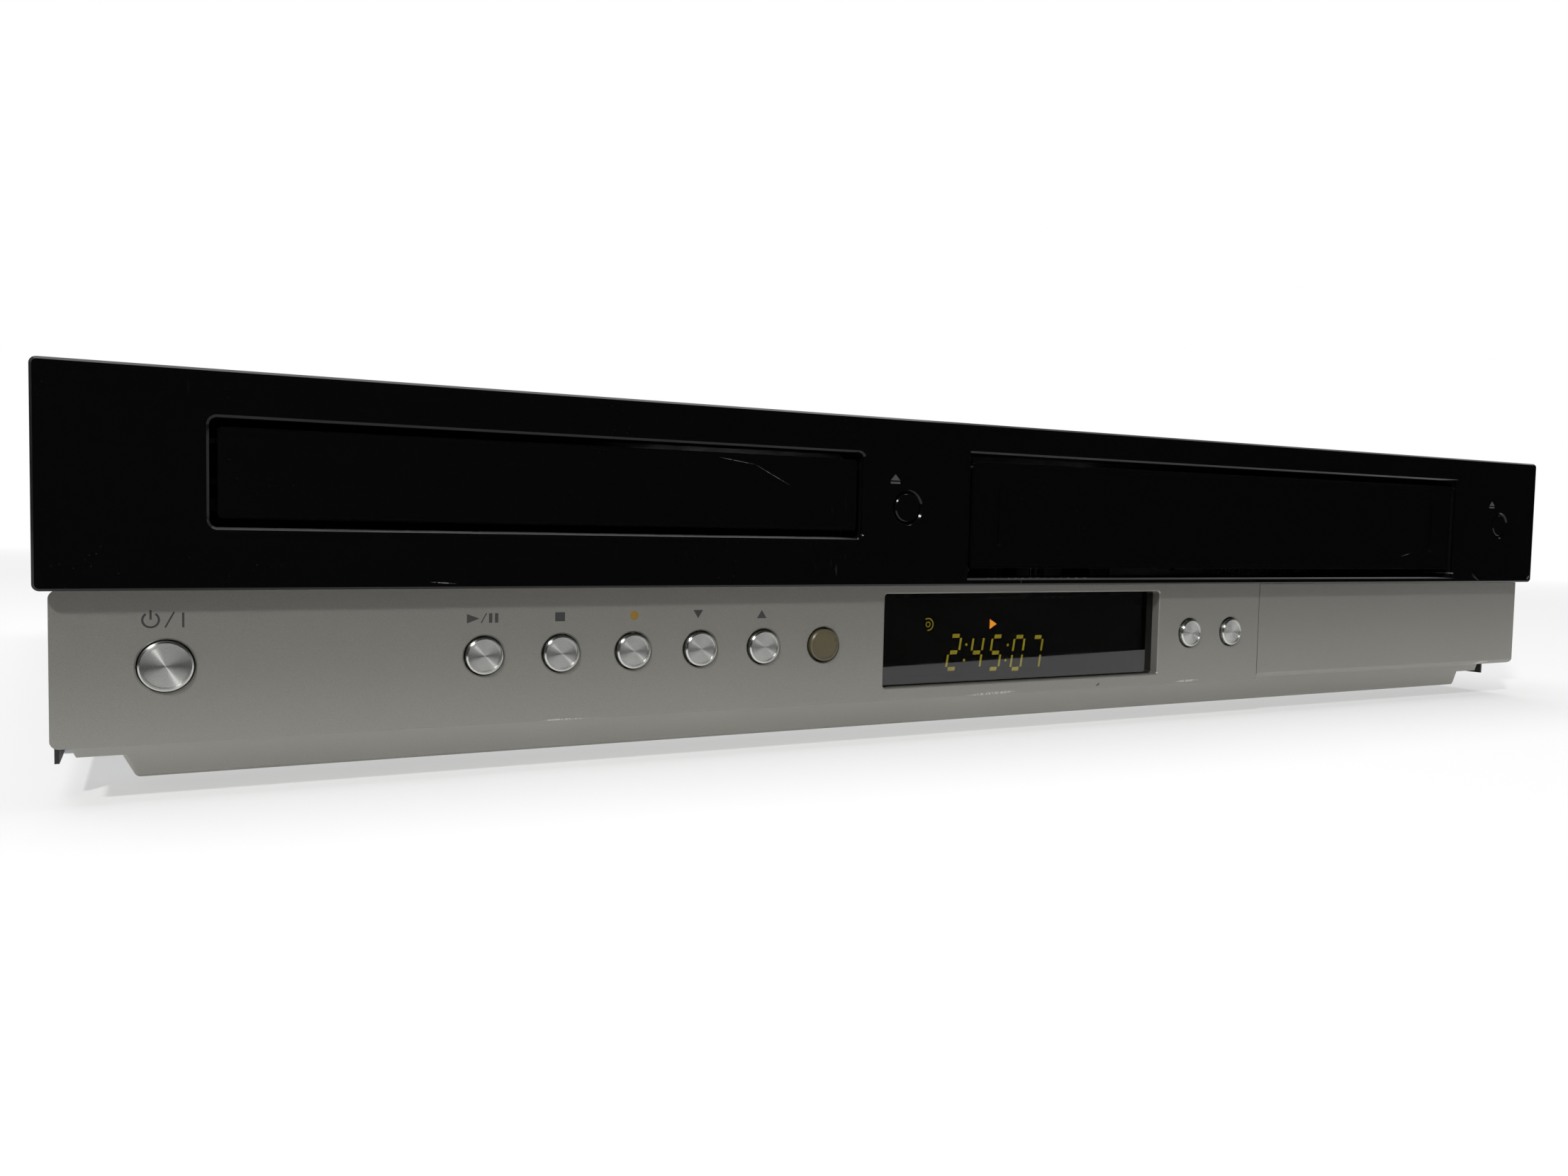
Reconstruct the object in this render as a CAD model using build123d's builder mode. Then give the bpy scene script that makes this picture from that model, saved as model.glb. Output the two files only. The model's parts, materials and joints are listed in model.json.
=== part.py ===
"""Disc player and video cassette recorder in one case, modelled as an assembly.

Frame: millimetres, +Z up, +X to the right as seen from the front, the front faces -Y.
The origin is on the surface it stands on, under the middle of the case.
"""

import math
import os

from build123d import *

os.makedirs("parts", exist_ok=True)

# ---------------------------------------------------------------- driving dimensions
width = 430.0
height = 78.5
depth = 354.0
rear_reach = 9.0  # sockets stand this far out of the rear panel

y_front = -depth / 2
y_panel = depth / 2 - rear_reach  # outer face of the rear panel

running_gap = 0.05  # shaft in a bearing, radial
free_gap = 0.3  # between parts that move past each other
panel_gap = 0.25  # round doors and flaps

# front: upper fascia, lower fascia, plinth
band_height = 39.8
band_depth = 14.0
band_wall = 3.0
band_skin = 2.2
band_sill = 1.8
band_corner = 1.2
front_edge = 0.45

lower_recess = 3.64
lower_inset = 2.1
lower_height = 27.98
lower_wall = 2.6
lower_floor = 1.6
lower_corner = 1.5

strip_recess = 14.33
strip_inset = 3.7
strip_height = 3.52
strip_slant = 1.8
skirt_edge_radius = 0.8
skirt_recess = 15.68
skirt_inset = 12.7
skirt_height = 4.73
skirt_slant = 2.5
skirt_corner = 1.2
plinth_wall = 2.0
plinth_depth = 11.7

# sheet metal case
cover_sheet = 0.8
cover_gap_top = 1.0
pan_sheet = 1.0
pan_flange = 12.0
pan_rear_lip = 6.0
foot_height = 6.0
foot_radius = 14.0
foot_pad_radius = 10.0
foot_pad_depth = 1.2
foot_edge_radius = 1.5
foot_side = 175.0
foot_front = 55.0
foot_rear = 45.0

z_band = height - band_height
z_lower = z_band - lower_height
z_strip = z_lower - strip_height
z_skirt = z_strip - skirt_height
x_band = width / 2
x_lower = x_band - lower_inset
x_strip = x_band - strip_inset
x_skirt = x_band - skirt_inset
x_inner = x_lower - cover_sheet
z_pan = foot_height
z_floor = z_pan + pan_sheet
z_cover = height - cover_gap_top
z_ceiling = z_cover - cover_sheet

# openings in the upper fascia
disc_z = 60.0
disc_door_width = 134.6
disc_door_height = 16.6
disc_opening_width = 137.5
disc_opening_height = 19.8
opening_corner = 1.4
shroud_wall = 1.4
shroud_depth = 10.0
disc_door_recess = 0.6
disc_door_thick = 3.4

tape_opening_width = 192.0
tape_opening_top = 71.3
flap_side_gap = 1.6
flap_width = tape_opening_width - 2 * flap_side_gap
flap_height = 26.5
flap_top = 69.5
flap_thick = 2.2
flap_recess = 1.0
flap_pin_radius = 0.9
flap_pin_reach = 2.6
flap_bar_width = 2.0
flap_bar_height = 15.2
flap_bar_inset = 8.8
flap_bar_side = flap_width / 2 - flap_bar_inset
flap_bar_proud = 0.5
flap_bar_z = 56.1
flap_edge_bevel = 0.4

# the front's spare width lies left of, between and right of the two openings
front_spare = width - disc_opening_width - tape_opening_width
left_share = 27.3 / 100.5
right_share = 42.4 / 100.5
middle_share = 1 - left_share - right_share
disc_x = -x_band + front_spare * left_share + disc_opening_width / 2
tape_x = x_band - front_spare * right_share - tape_opening_width / 2

# buttons
button_z = 24.8
button_travel = 0.8
cap_radius = 3.75
cap_hole_radius = 4.1
power_inset = 20.2
power_x = -x_band + power_inset
power_cap_radius = 4.55
power_hole_radius = 4.85
small_button_x = [-137.4, -121.3, -105.3, -89.5, -73.8, -58.1, 60.4, 76.4]
small_button_names = [
    "play_button",
    "stop_button",
    "record_button",
    "down_button",
    "up_button",
    "dubbing_button",
    "source_button",
    "mode_button",
]
eject_cap_radius = 3.5
eject_hole_radius = 3.8
disc_eject_share = 12.4 / 30.8
tape_eject_share = 23.3 / 42.4
disc_eject_x = disc_x + disc_opening_width / 2 + front_spare * middle_share * disc_eject_share
tape_eject_x = tape_x + tape_opening_width / 2 + front_spare * right_share * tape_eject_share
eject_z = 57.4
cap_proud = 0.9
eject_proud = 0.0
sleeve_wall = 1.1
sleeve_depth = 3.4
flange_thick = 1.2
flange_extra = 1.0
stem_radius = 1.5
stem_length = 2.5
switch_slack = 0.1
switch_gap = button_travel + switch_slack
switch_body = 6.0
switch_height = 2.4
switch_plunger = 0.5
switch_plunger_radius = 1.6
board_thick = 1.6
hole_bevel = 0.3
board_post_radius = 2.2
board_post_x = [power_x + 14.8, -149.0, -48.0, 68.4]
eject_post_radius = 1.8
eject_post_side = 7.2

# how far behind the front the key boards stand: collar, flange, stem, gap and switch
button_stack = sleeve_depth + free_gap + flange_thick + stem_length
button_stack += switch_gap + switch_plunger + switch_height
key_board_front = lower_recess + lower_wall + button_stack
eject_board_front = band_wall + button_stack

# display window
window_left = -41.2
window_right = 48.5
window_low = 13.7
window_high = 36.6
window_corner = 0.8
lens_margin = 1.2
lens_lap = 0.4
lens_thick = 1.8
tube_margin = 4.0
tube_gap = 1.4
tube_bevel = 0.8

# flip-down door over the front sockets
door_left = 88.0
door_thick = 2.4
door_low_gap = 0.2
door_axis_y = 5.36
door_axis_z = 2.9
door_lug_radius = 2.6
door_lug_width = 4.0
door_lug_inset = 4.5
door_pin_radius = 1.2
door_boss_radius = door_axis_y - door_thick - 2 * panel_gap  # the door's back swings round it
door_edge_radius = 0.5
door_swing_room = 1.0
bay_depth = 16.4
bay_wall = 1.6
bay_cheek = 2.0
bay_floor_rise = 7.1

# round sockets at the front and rear, and a flat one at the front
socket_radius = 4.15
socket_bore = 1.6
socket_bore_depth = 4.0
socket_collar = 5.4
socket_collar_thick = 1.2
front_socket_x = [104.0, 122.0, 140.0]
front_socket_reach = 8.0
data_socket_x = 168.0
data_socket_width = 9.0
data_socket_height = 5.0
data_socket_wall = 1.0
data_socket_reach = 1.0
data_socket_mouth = 5.0
front_block_depth = 6.0
front_block_half = 7.0
front_block_left = 8.0
front_block_right = 12.0


def back(distance):
    """Y of a place this far behind the front plane of the upper fascia."""
    return y_front + distance


def slab(x0, x1, y0, y1, z0, z1, mode=Mode.ADD):
    """A block between two corners, in or out of the open part."""
    with Locations(((x0 + x1) / 2, (y0 + y1) / 2, (z0 + z1) / 2)):
        Box(x1 - x0, y1 - y0, z1 - z0, mode=mode)


def post(x, y, z0, z1, radius, mode=Mode.ADD):
    """An upright cylinder."""
    with Locations((x, y, (z0 + z1) / 2)):
        Cylinder(radius, z1 - z0, mode=mode)


def bar_y(x, z, y0, y1, radius, mode=Mode.ADD):
    """A cylinder that runs from front to back."""
    with Locations(Location((x, (y0 + y1) / 2, z), (90, 0, 0))):
        Cylinder(radius, y1 - y0, mode=mode)


def bar_x(y, z, x0, x1, radius, mode=Mode.ADD):
    """A cylinder that runs from side to side."""
    with Locations(Location(((x0 + x1) / 2, y, z), (0, 90, 0))):
        Cylinder(radius, x1 - x0, mode=mode)


def save(piece, name):
    """Label a finished piece and write it under its node's name."""
    piece.label = name
    export_step(piece, f"parts/{name}.step")


def front_plane(distance):
    """A plane facing forwards, with local x to the right and local y up."""
    return Plane(origin=(0, back(distance), 0), x_dir=(1, 0, 0), z_dir=(0, -1, 0))


# ---------------------------------------------------------------- upper fascia
tape_sill = z_band + band_sill
tape_opening_height = tape_opening_top - tape_sill
tape_opening_z = (tape_opening_top + tape_sill) / 2
flap_axis_y = back(flap_recess + flap_thick / 2)
flap_axis_z = flap_top - flap_thick / 2

with BuildPart() as front_fascia:
    with BuildSketch(front_plane(0)) as band_outline:
        with Locations((0, z_band + band_height / 2)):
            RectangleRounded(width, band_height, band_corner)
    extrude(amount=-band_depth)
    slab(
        -x_band + band_skin,
        x_band - band_skin,
        back(band_wall),
        back(band_depth),
        z_band + band_sill,
        height - band_skin,
        Mode.SUBTRACT,
    )
    with BuildSketch(front_plane(band_wall)) as shrouds:
        with Locations((disc_x, disc_z)):
            RectangleRounded(
                disc_opening_width + 2 * shroud_wall,
                disc_opening_height + 2 * shroud_wall,
                opening_corner + shroud_wall,
            )
        with Locations((tape_x, (tape_opening_top + shroud_wall + tape_sill) / 2)):
            Rectangle(
                tape_opening_width + 2 * shroud_wall,
                tape_opening_height + shroud_wall,
            )
        with Locations((disc_eject_x, eject_z), (tape_eject_x, eject_z)):
            Circle(eject_hole_radius + sleeve_wall)
    extrude(amount=-(shroud_depth - band_wall))
    with BuildSketch(front_plane(0)) as openings:
        with Locations((disc_x, disc_z)):
            RectangleRounded(disc_opening_width, disc_opening_height, opening_corner)
        with Locations((tape_x, tape_opening_z)):
            Rectangle(tape_opening_width, tape_opening_height)
        with Locations((disc_eject_x, eject_z), (tape_eject_x, eject_z)):
            Circle(eject_hole_radius)
    extrude(amount=-band_depth, mode=Mode.SUBTRACT)
    chamfer(front_fascia.faces().sort_by(Axis.Y)[0].edges(), front_edge)
    flap_bore_reach = flap_pin_reach - (tape_opening_width - flap_width) / 2 + free_gap
    bar_x(
        flap_axis_y,
        flap_axis_z,
        tape_x - tape_opening_width / 2 - flap_bore_reach,
        tape_x + tape_opening_width / 2 + flap_bore_reach,
        flap_pin_radius + running_gap,
        Mode.SUBTRACT,
    )
    # the eject sleeves end where the caps' collars stop
    for eject_x in (disc_eject_x, tape_eject_x):
        slab(
            eject_x - eject_hole_radius - sleeve_wall,
            eject_x + eject_hole_radius + sleeve_wall,
            back(band_wall + sleeve_depth),
            back(shroud_depth),
            eject_z - eject_hole_radius - sleeve_wall,
            eject_z + eject_hole_radius + sleeve_wall,
            Mode.SUBTRACT,
        )
        for side in (-1, 1):
            bar_y(
                eject_x + side * eject_post_side,
                eject_z,
                back(band_wall),
                back(eject_board_front),
                eject_post_radius,
            )
save(front_fascia.part, "front_fascia")


# ---------------------------------------------------------------- lower fascia
y_lower = back(lower_recess)
y_lower_back = y_lower + lower_wall
hinge_y = y_lower + door_axis_y
hinge_z = z_lower + door_axis_z
bay_back = lower_recess + bay_depth
bay_board = bay_back + bay_wall
bay_floor = z_lower + bay_floor_rise
front_socket_z = (bay_floor + z_band - lower_floor) / 2
cheek_right = x_inner - free_gap / 3

with BuildPart() as lower_fascia:
    with BuildSketch(front_plane(lower_recess)) as lower_outline:
        with Locations((0, z_lower + lower_height / 2)):
            RectangleRounded(2 * x_lower, lower_height, lower_corner)
    extrude(amount=-(band_depth - lower_recess))
    slab(
        -x_lower + lower_wall,
        x_lower - lower_wall,
        y_lower_back,
        back(band_depth),
        z_lower + lower_floor,
        z_band - lower_floor,
        Mode.SUBTRACT,
    )
    # the floor runs back over the plinth
    slab(
        -x_inner,
        x_inner,
        back(band_depth),
        back(strip_recess + plinth_depth),
        z_lower,
        z_lower + lower_floor,
    )
    # sleeves behind the button holes and posts that carry the key board
    with BuildSketch(front_plane(lower_recess + lower_wall)) as sleeves:
        with Locations(*[(x, button_z) for x in small_button_x]):
            Circle(cap_hole_radius + sleeve_wall)
        with Locations((power_x, button_z)):
            Circle(power_hole_radius + sleeve_wall)
    extrude(amount=-sleeve_depth)
    for x in board_post_x:
        bar_y(x, button_z, y_lower_back, back(key_board_front), board_post_radius)
    with BuildSketch(front_plane(lower_recess)) as lower_openings:
        with Locations(*[(x, button_z) for x in small_button_x]):
            Circle(cap_hole_radius)
        with Locations((power_x, button_z)):
            Circle(power_hole_radius)
        with Locations(((window_left + window_right) / 2, (window_low + window_high) / 2)):
            RectangleRounded(window_right - window_left, window_high - window_low, window_corner)
    extrude(amount=-(lower_wall + sleeve_depth), mode=Mode.SUBTRACT)
    holes = lower_fascia.faces().sort_by(Axis.Y)[0].inner_wires()
    chamfer([edge for wire in holes for edge in wire.edges()], hole_bevel)
    # the flip-down door's bay: wall and lip cut away, then its own box
    slab(
        door_left - panel_gap,
        x_lower + 1,
        y_lower - 1,
        y_lower_back + panel_gap,
        z_lower - 1,
        z_band + 1,
        Mode.SUBTRACT,
    )
    slab(
        door_left - panel_gap,
        x_lower + 1,
        y_lower - 1,
        hinge_y + door_axis_y - door_thick + door_swing_room,
        z_lower - 1,
        z_lower + lower_floor + free_gap,
        Mode.SUBTRACT,
    )
    slab(
        door_left - panel_gap - bay_cheek,
        door_left - panel_gap,
        y_lower,
        back(bay_back),
        z_lower + lower_floor / 2,
        z_band,
    )
    # the right cheek is round about the hinge, so the door's back clears it
    slab(
        x_lower - lower_wall,
        cheek_right,
        y_lower_back + panel_gap,
        back(bay_back),
        hinge_z,
        z_band,
    )
    slab(
        x_lower - lower_wall,
        cheek_right,
        hinge_y,
        back(bay_back),
        z_lower + lower_floor / 4,
        hinge_z,
    )
    bar_x(hinge_y, hinge_z, x_lower - lower_wall, cheek_right, door_boss_radius)
    slab(
        door_left - panel_gap,
        cheek_right,
        y_lower_back + panel_gap,
        back(bay_back + bay_wall),
        bay_floor - bay_wall,
        bay_floor,
    )
    slab(
        door_left - panel_gap - bay_cheek,
        cheek_right,
        back(bay_back),
        back(bay_back + bay_wall),
        bay_floor - bay_wall,
        z_band,
    )
    slab(
        door_left - panel_gap - bay_cheek,
        cheek_right,
        back(band_depth),
        back(bay_back),
        z_band - lower_floor,
        z_band,
    )
    bar_x(
        hinge_y,
        hinge_z,
        door_left - panel_gap - bay_cheek - 1,
        door_left,
        door_pin_radius + running_gap,
        Mode.SUBTRACT,
    )
    bar_x(
        hinge_y,
        hinge_z,
        x_lower - lower_wall - 1,
        x_lower - lower_wall / 2,
        door_pin_radius + running_gap,
        Mode.SUBTRACT,
    )
    # the bay's rear wall is pierced for the sockets
    with BuildSketch(front_plane(bay_back)) as socket_holes:
        with Locations(*[(x, front_socket_z) for x in front_socket_x]):
            Circle(socket_collar + free_gap)
        with Locations((data_socket_x, front_socket_z)):
            Rectangle(data_socket_width + 2 * free_gap, data_socket_height + 2 * free_gap)
    extrude(amount=-bay_wall, mode=Mode.SUBTRACT)
save(lower_fascia.part, "lower_fascia")

# ---------------------------------------------------------------- flip-down door
with BuildPart() as socket_door:
    slab(
        door_left,
        x_lower,
        y_lower,
        y_lower + door_thick,
        z_lower + door_low_gap,
        z_band - panel_gap,
    )
    door_ends = socket_door.edges().filter_by(Axis.Z).group_by(Axis.X)[-1]
    fillet(door_ends.sort_by(Axis.Y)[0], door_edge_radius)
    low_corner = socket_door.edges().filter_by(Axis.Y).group_by(Axis.Z)[0].sort_by(Axis.X)[-1]
    fillet(low_corner, lower_corner)
    door_lug_left = door_left + door_lug_inset
    door_lug_right = x_lower - lower_wall - door_lug_inset + bay_cheek
    for lug_x0 in (door_lug_left, door_lug_right - door_lug_width):
        slab(
            lug_x0,
            lug_x0 + door_lug_width,
            y_lower + door_thick / 2,
            hinge_y,
            hinge_z - door_lug_radius,
            hinge_z + door_lug_radius,
        )
        bar_x(hinge_y, hinge_z, lug_x0, lug_x0 + door_lug_width, door_lug_radius)
    bar_x(
        hinge_y,
        hinge_z,
        door_left - panel_gap - bay_cheek + free_gap,
        door_lug_left + 1,
        door_pin_radius,
    )
    bar_x(
        hinge_y,
        hinge_z,
        door_lug_right - 1,
        x_lower - lower_wall / 2 - free_gap,
        door_pin_radius,
    )
save(socket_door.part, "socket_door")

# ---------------------------------------------------------------- plinth
with BuildPart() as base_skirt:
    with BuildSketch(front_plane(strip_recess)) as strip_outline:
        with BuildLine():
            Polyline(
                (-x_strip, z_lower),
                (x_strip, z_lower),
                (x_strip - strip_slant, z_strip),
                (-x_strip + strip_slant, z_strip),
                close=True,
            )
        make_face()
    extrude(amount=-plinth_depth)
    with BuildSketch(front_plane(skirt_recess)) as skirt_outline:
        with BuildLine():
            Polyline(
                (-x_skirt, z_strip),
                (x_skirt, z_strip),
                (x_skirt - skirt_slant, z_skirt),
                (-x_skirt + skirt_slant, z_skirt),
                close=True,
            )
        make_face()
        fillet(skirt_outline.vertices().group_by(Axis.Y)[0], skirt_corner)
    extrude(amount=-(plinth_depth + strip_recess - skirt_recess))
    skirt_edge = base_skirt.faces().sort_by(Axis.Z)[0].edges().filter_by(Axis.X).sort_by(Axis.Y)[0]
    fillet(skirt_edge, skirt_edge_radius)
    slab(
        -x_skirt + skirt_slant + plinth_wall,
        x_skirt - skirt_slant - plinth_wall,
        back(skirt_recess + plinth_wall),
        back(strip_recess + plinth_depth),
        z_skirt + plinth_wall,
        z_lower,
        Mode.SUBTRACT,
    )
save(base_skirt.part, "base_skirt")

# ---------------------------------------------------------------- display
y_lens = y_lower_back
with BuildPart() as display_lens:
    with BuildSketch(front_plane(lower_recess + lower_wall)) as lens_outline:
        with Locations(((window_left + window_right) / 2, (window_low + window_high) / 2)):
            Rectangle(
                window_right - window_left + 2 * lens_margin,
                window_high - window_low + 2 * lens_lap,
            )
    extrude(amount=-lens_thick)
save(display_lens.part, "display_lens")

with BuildPart() as display_tube:
    slab(
        window_left + tube_margin,
        window_right - tube_margin,
        y_lens + lens_thick + tube_gap,
        back(key_board_front),
        window_low + tube_margin / 2,
        window_high - tube_margin / 2,
    )
    chamfer(display_tube.faces().sort_by(Axis.Y)[0].edges(), tube_bevel)
save(display_tube.part, "display_tube")

# ---------------------------------------------------------------- key boards with their switches
key_board_left = power_x - 8.2
key_board_right = 84.0
key_board_low = z_lower + lower_floor + free_gap
key_board_high = 31.5
eject_board_width = 18.0
eject_board_height = 14.0


def switch(x, z, board_front):
    """A push switch on the front of a key board."""
    front = back(board_front - switch_height)
    slab(
        x - switch_body / 2,
        x + switch_body / 2,
        front,
        back(board_front),
        z - switch_body / 2,
        z + switch_body / 2,
    )
    bar_y(x, z, front - switch_plunger, front, switch_plunger_radius)


with BuildPart() as key_board:
    slab(
        key_board_left,
        key_board_right,
        back(key_board_front),
        back(key_board_front + board_thick),
        key_board_low,
        key_board_high,
    )
    for x in [power_x, *small_button_x]:
        switch(x, button_z, key_board_front)
save(key_board.part, "key_board")

with BuildPart() as eject_boards:
    for x in (disc_eject_x, tape_eject_x):
        slab(
            x - eject_board_width / 2,
            x + eject_board_width / 2,
            back(eject_board_front),
            back(eject_board_front + board_thick),
            eject_z - eject_board_height / 2,
            eject_z + eject_board_height / 2,
        )
        switch(x, eject_z, eject_board_front)
save(eject_boards.part, "eject_boards")


# ---------------------------------------------------------------- buttons
def make_button(x, z, radius, hole, face, wall, proud, dish):
    """A cap that stands proud of its fascia, with a collar behind the sleeve and a stem."""
    front = face - proud
    collar = face + wall + sleeve_depth + free_gap
    with BuildPart() as button:
        bar_y(x, z, back(front), back(collar), radius)
        chamfer(button.faces().sort_by(Axis.Y)[0].edges(), hole_bevel)
        if dish:
            with BuildSketch(front_plane(front)) as dish_outline:
                with Locations((x, z)):
                    Circle(radius - 2 * hole_bevel)
            extrude(dish_outline.sketch, amount=-hole_bevel / 2, mode=Mode.SUBTRACT)
        bar_y(x, z, back(collar), back(collar + flange_thick), hole + flange_extra)
        bar_y(
            x,
            z,
            back(collar + flange_thick),
            back(collar + flange_thick + stem_length),
            stem_radius,
        )
    return button.part


save(
    make_button(
        power_x,
        button_z,
        power_cap_radius,
        power_hole_radius,
        lower_recess,
        lower_wall,
        cap_proud,
        True,
    ),
    "power_button",
)
for button_x, button_name in zip(small_button_x, small_button_names):
    save(
        make_button(
            button_x,
            button_z,
            cap_radius,
            cap_hole_radius,
            lower_recess,
            lower_wall,
            cap_proud,
            True,
        ),
        button_name,
    )
for button_x, button_name in ((disc_eject_x, "disc_eject_button"), (tape_eject_x, "tape_eject_button")):
    save(
        make_button(
            button_x,
            eject_z,
            eject_cap_radius,
            eject_hole_radius,
            0,
            band_wall,
            eject_proud,
            False,
        ),
        button_name,
    )

# ---------------------------------------------------------------- cassette flap
with BuildPart() as cassette_flap:
    flap_left = tape_x - flap_width / 2
    flap_right = tape_x + flap_width / 2
    slab(
        flap_left,
        flap_right,
        back(flap_recess),
        back(flap_recess + flap_thick),
        flap_top - flap_height,
        flap_top,
    )
    top_edges = cassette_flap.faces().sort_by(Axis.Z)[-1].edges().filter_by(Axis.X)
    fillet(top_edges, flap_thick / 2 - running_gap)
    chamfer(cassette_flap.faces().sort_by(Axis.Z)[0].edges().filter_by(Axis.X), flap_edge_bevel)
    with BuildSketch(front_plane(flap_recess)) as flap_bars:
        with Locations((tape_x - flap_bar_side, flap_bar_z), (tape_x + flap_bar_side, flap_bar_z)):
            SlotOverall(flap_bar_height, flap_bar_width, rotation=90)
    extrude(amount=flap_bar_proud)
    bar_x(flap_axis_y, flap_axis_z, flap_left - flap_pin_reach, flap_left + 1, flap_pin_radius)
    bar_x(flap_axis_y, flap_axis_z, flap_right - 1, flap_right + flap_pin_reach, flap_pin_radius)
save(cassette_flap.part, "cassette_flap")

# ---------------------------------------------------------------- sheet metal case
cover_front = band_depth
cover_corner = 2.0
cover_foot = 0.3
side_vent_count = 14
side_vent_pitch = 6.0
side_vent_width = 2.2
side_vent_height = 16.0
side_vent_y = depth - 99.0
side_vent_z = 48.0
screw_radius = 1.5
screw_head_radius = 3.2
screw_head = 1.6
screw_length = 5.0
screw_z = 13.0
side_screw_y = [60.0, depth - 54.0]
rear_screw_inset = 15.0
rear_screw_x = [-x_band + rear_screw_inset, 0.0, x_band - rear_screw_inset]
rear_screw_z = 70.0
pan_front = strip_recess + plinth_depth

with BuildPart() as top_cover:
    with BuildSketch(front_plane(cover_front)) as cover_profile:
        with BuildLine() as cover_line:
            Polyline(
                (-x_lower, z_pan + cover_foot),
                (-x_lower, z_cover),
                (x_lower, z_cover),
                (x_lower, z_pan + cover_foot),
                (x_inner, z_pan + cover_foot),
                (x_inner, z_ceiling),
                (-x_inner, z_ceiling),
                (-x_inner, z_pan + cover_foot),
                close=True,
            )
        make_face()
        upper = cover_profile.vertices().group_by(Axis.Y)[-1]
        fillet(upper, cover_corner)
        inner_upper = cover_profile.vertices().filter_by(
            lambda v: abs(v.Y - z_ceiling) < 0.01 and abs(abs(v.X) - x_inner) < 0.01
        )
        fillet(inner_upper, cover_corner - cover_sheet)
    extrude(amount=-(y_panel - back(cover_front)))
    with BuildSketch(Plane.YZ.offset(-x_lower - 1)) as side_vents:
        with Locations((back(side_vent_y), side_vent_z)):
            with GridLocations(side_vent_pitch, 0, side_vent_count, 1):
                SlotOverall(side_vent_height, side_vent_width, rotation=90)
    extrude(amount=2 * x_lower + 2, mode=Mode.SUBTRACT)
    for y in side_screw_y:
        bar_x(back(y), screw_z, -x_lower - 1, x_lower + 1, screw_radius, Mode.SUBTRACT)
save(top_cover.part, "top_cover")

# mechanisms' places, used by the posts of the pan
drive_half = 73.0
drive_front = 18.0
drive_rear = 190.0
drive_floor = 32.0
drive_post_side = 66.0
drive_post_front = 26.0
drive_post_rear = 182.0
# cassette holder, slider and side plates stand outwards from the cassette in this order
cassette_slack = 2.0
cassette_half = tape_opening_width / 2 - cassette_slack
holder_gap = 0.6
holder_sheet = 1.0
slider_sheet = 1.6
side_sheet = 1.2
holder_inner = cassette_half + holder_gap
holder_outer = holder_inner + holder_sheet
slider_inner = holder_outer + free_gap
slider_outer = slider_inner + slider_sheet
side_inner = slider_outer + free_gap
side_outer = side_inner + side_sheet
deck_margin = 0.4
deck_half = side_outer + deck_margin
deck_left = tape_x - deck_half
deck_right = tape_x + deck_half
deck_front = 40.0
deck_rear = 232.0
deck_plate = 16.5
deck_sheet = 1.5
deck_post_inset = 9.4
deck_post_side = deck_half - deck_post_inset
deck_post_front = 48.0
deck_post_rear = 224.0
post_radius = 4.0

board_z = 12.0
main_board_left = -x_band + 13.0
main_board_right = -34.0
main_board_front = 50.0
main_board_rear = depth - 16.0
power_board_left = 34.0
power_board_right = x_band - 15.0
power_board_front = deck_rear + 8.0
power_board_rear = depth - 18.0
board_post_inset = 5.0

with BuildPart() as bottom_pan:
    pan_y0 = back(pan_front)
    pan_y1 = y_panel - cover_sheet
    slab(-x_inner, x_inner, pan_y0, pan_y1, z_pan, z_floor)
    for side in (-1, 1):
        inner = side * (x_inner - pan_sheet)
        outer = side * x_inner
        slab(min(inner, outer), max(inner, outer), pan_y0, pan_y1, z_floor, z_floor + pan_flange)
    slab(-x_inner, x_inner, pan_y0, pan_y0 + pan_sheet, z_floor, z_lower)
    slab(-x_inner, x_inner, pan_y1 - pan_sheet, pan_y1, z_floor, z_floor + pan_rear_lip)
    drive_posts = [
        (disc_x + side * drive_post_side, back(y))
        for side in (-1, 1)
        for y in (drive_post_front + pan_front - strip_recess, drive_post_rear)
    ]
    deck_posts = [
        (tape_x + side * deck_post_side, back(y))
        for side in (-1, 1)
        for y in (deck_post_front, deck_post_rear)
    ]
    board_posts = [
        (x, back(y))
        for left, right, front, rear in (
            (main_board_left, main_board_right, main_board_front, main_board_rear),
            (power_board_left, power_board_right, power_board_front, power_board_rear),
        )
        for x in (left + board_post_inset, right - board_post_inset)
        for y in (front + board_post_inset, rear - board_post_inset)
    ]
    for x, y in drive_posts:
        post(x, y, z_floor, drive_floor, post_radius)
    for x, y in deck_posts:
        post(x, y, z_floor, deck_plate, post_radius)
    for x, y in board_posts:
        post(x, y, z_floor, board_z, post_radius - 1)
    for y in side_screw_y:
        bar_x(back(y), screw_z, -x_lower - 1, x_lower + 1, screw_radius, Mode.SUBTRACT)
    floor_vent_x = -95.0
    floor_vent_y = depth - 104.0
    vent_rows = 3
    vent_columns = 12
    vent_pitch_x = 7.0
    vent_pitch_y = 26.0
    vent_length = 20.0
    vent_width = 3.0
    with BuildSketch(Plane.XY.offset(z_pan - 1)) as floor_vents:
        with Locations((floor_vent_x, back(floor_vent_y))):
            with GridLocations(vent_pitch_x, vent_pitch_y, vent_columns, vent_rows):
                SlotOverall(vent_length, vent_width, rotation=90)
    extrude(amount=pan_sheet + 2, mode=Mode.SUBTRACT)
save(bottom_pan.part, "bottom_pan")

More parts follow.
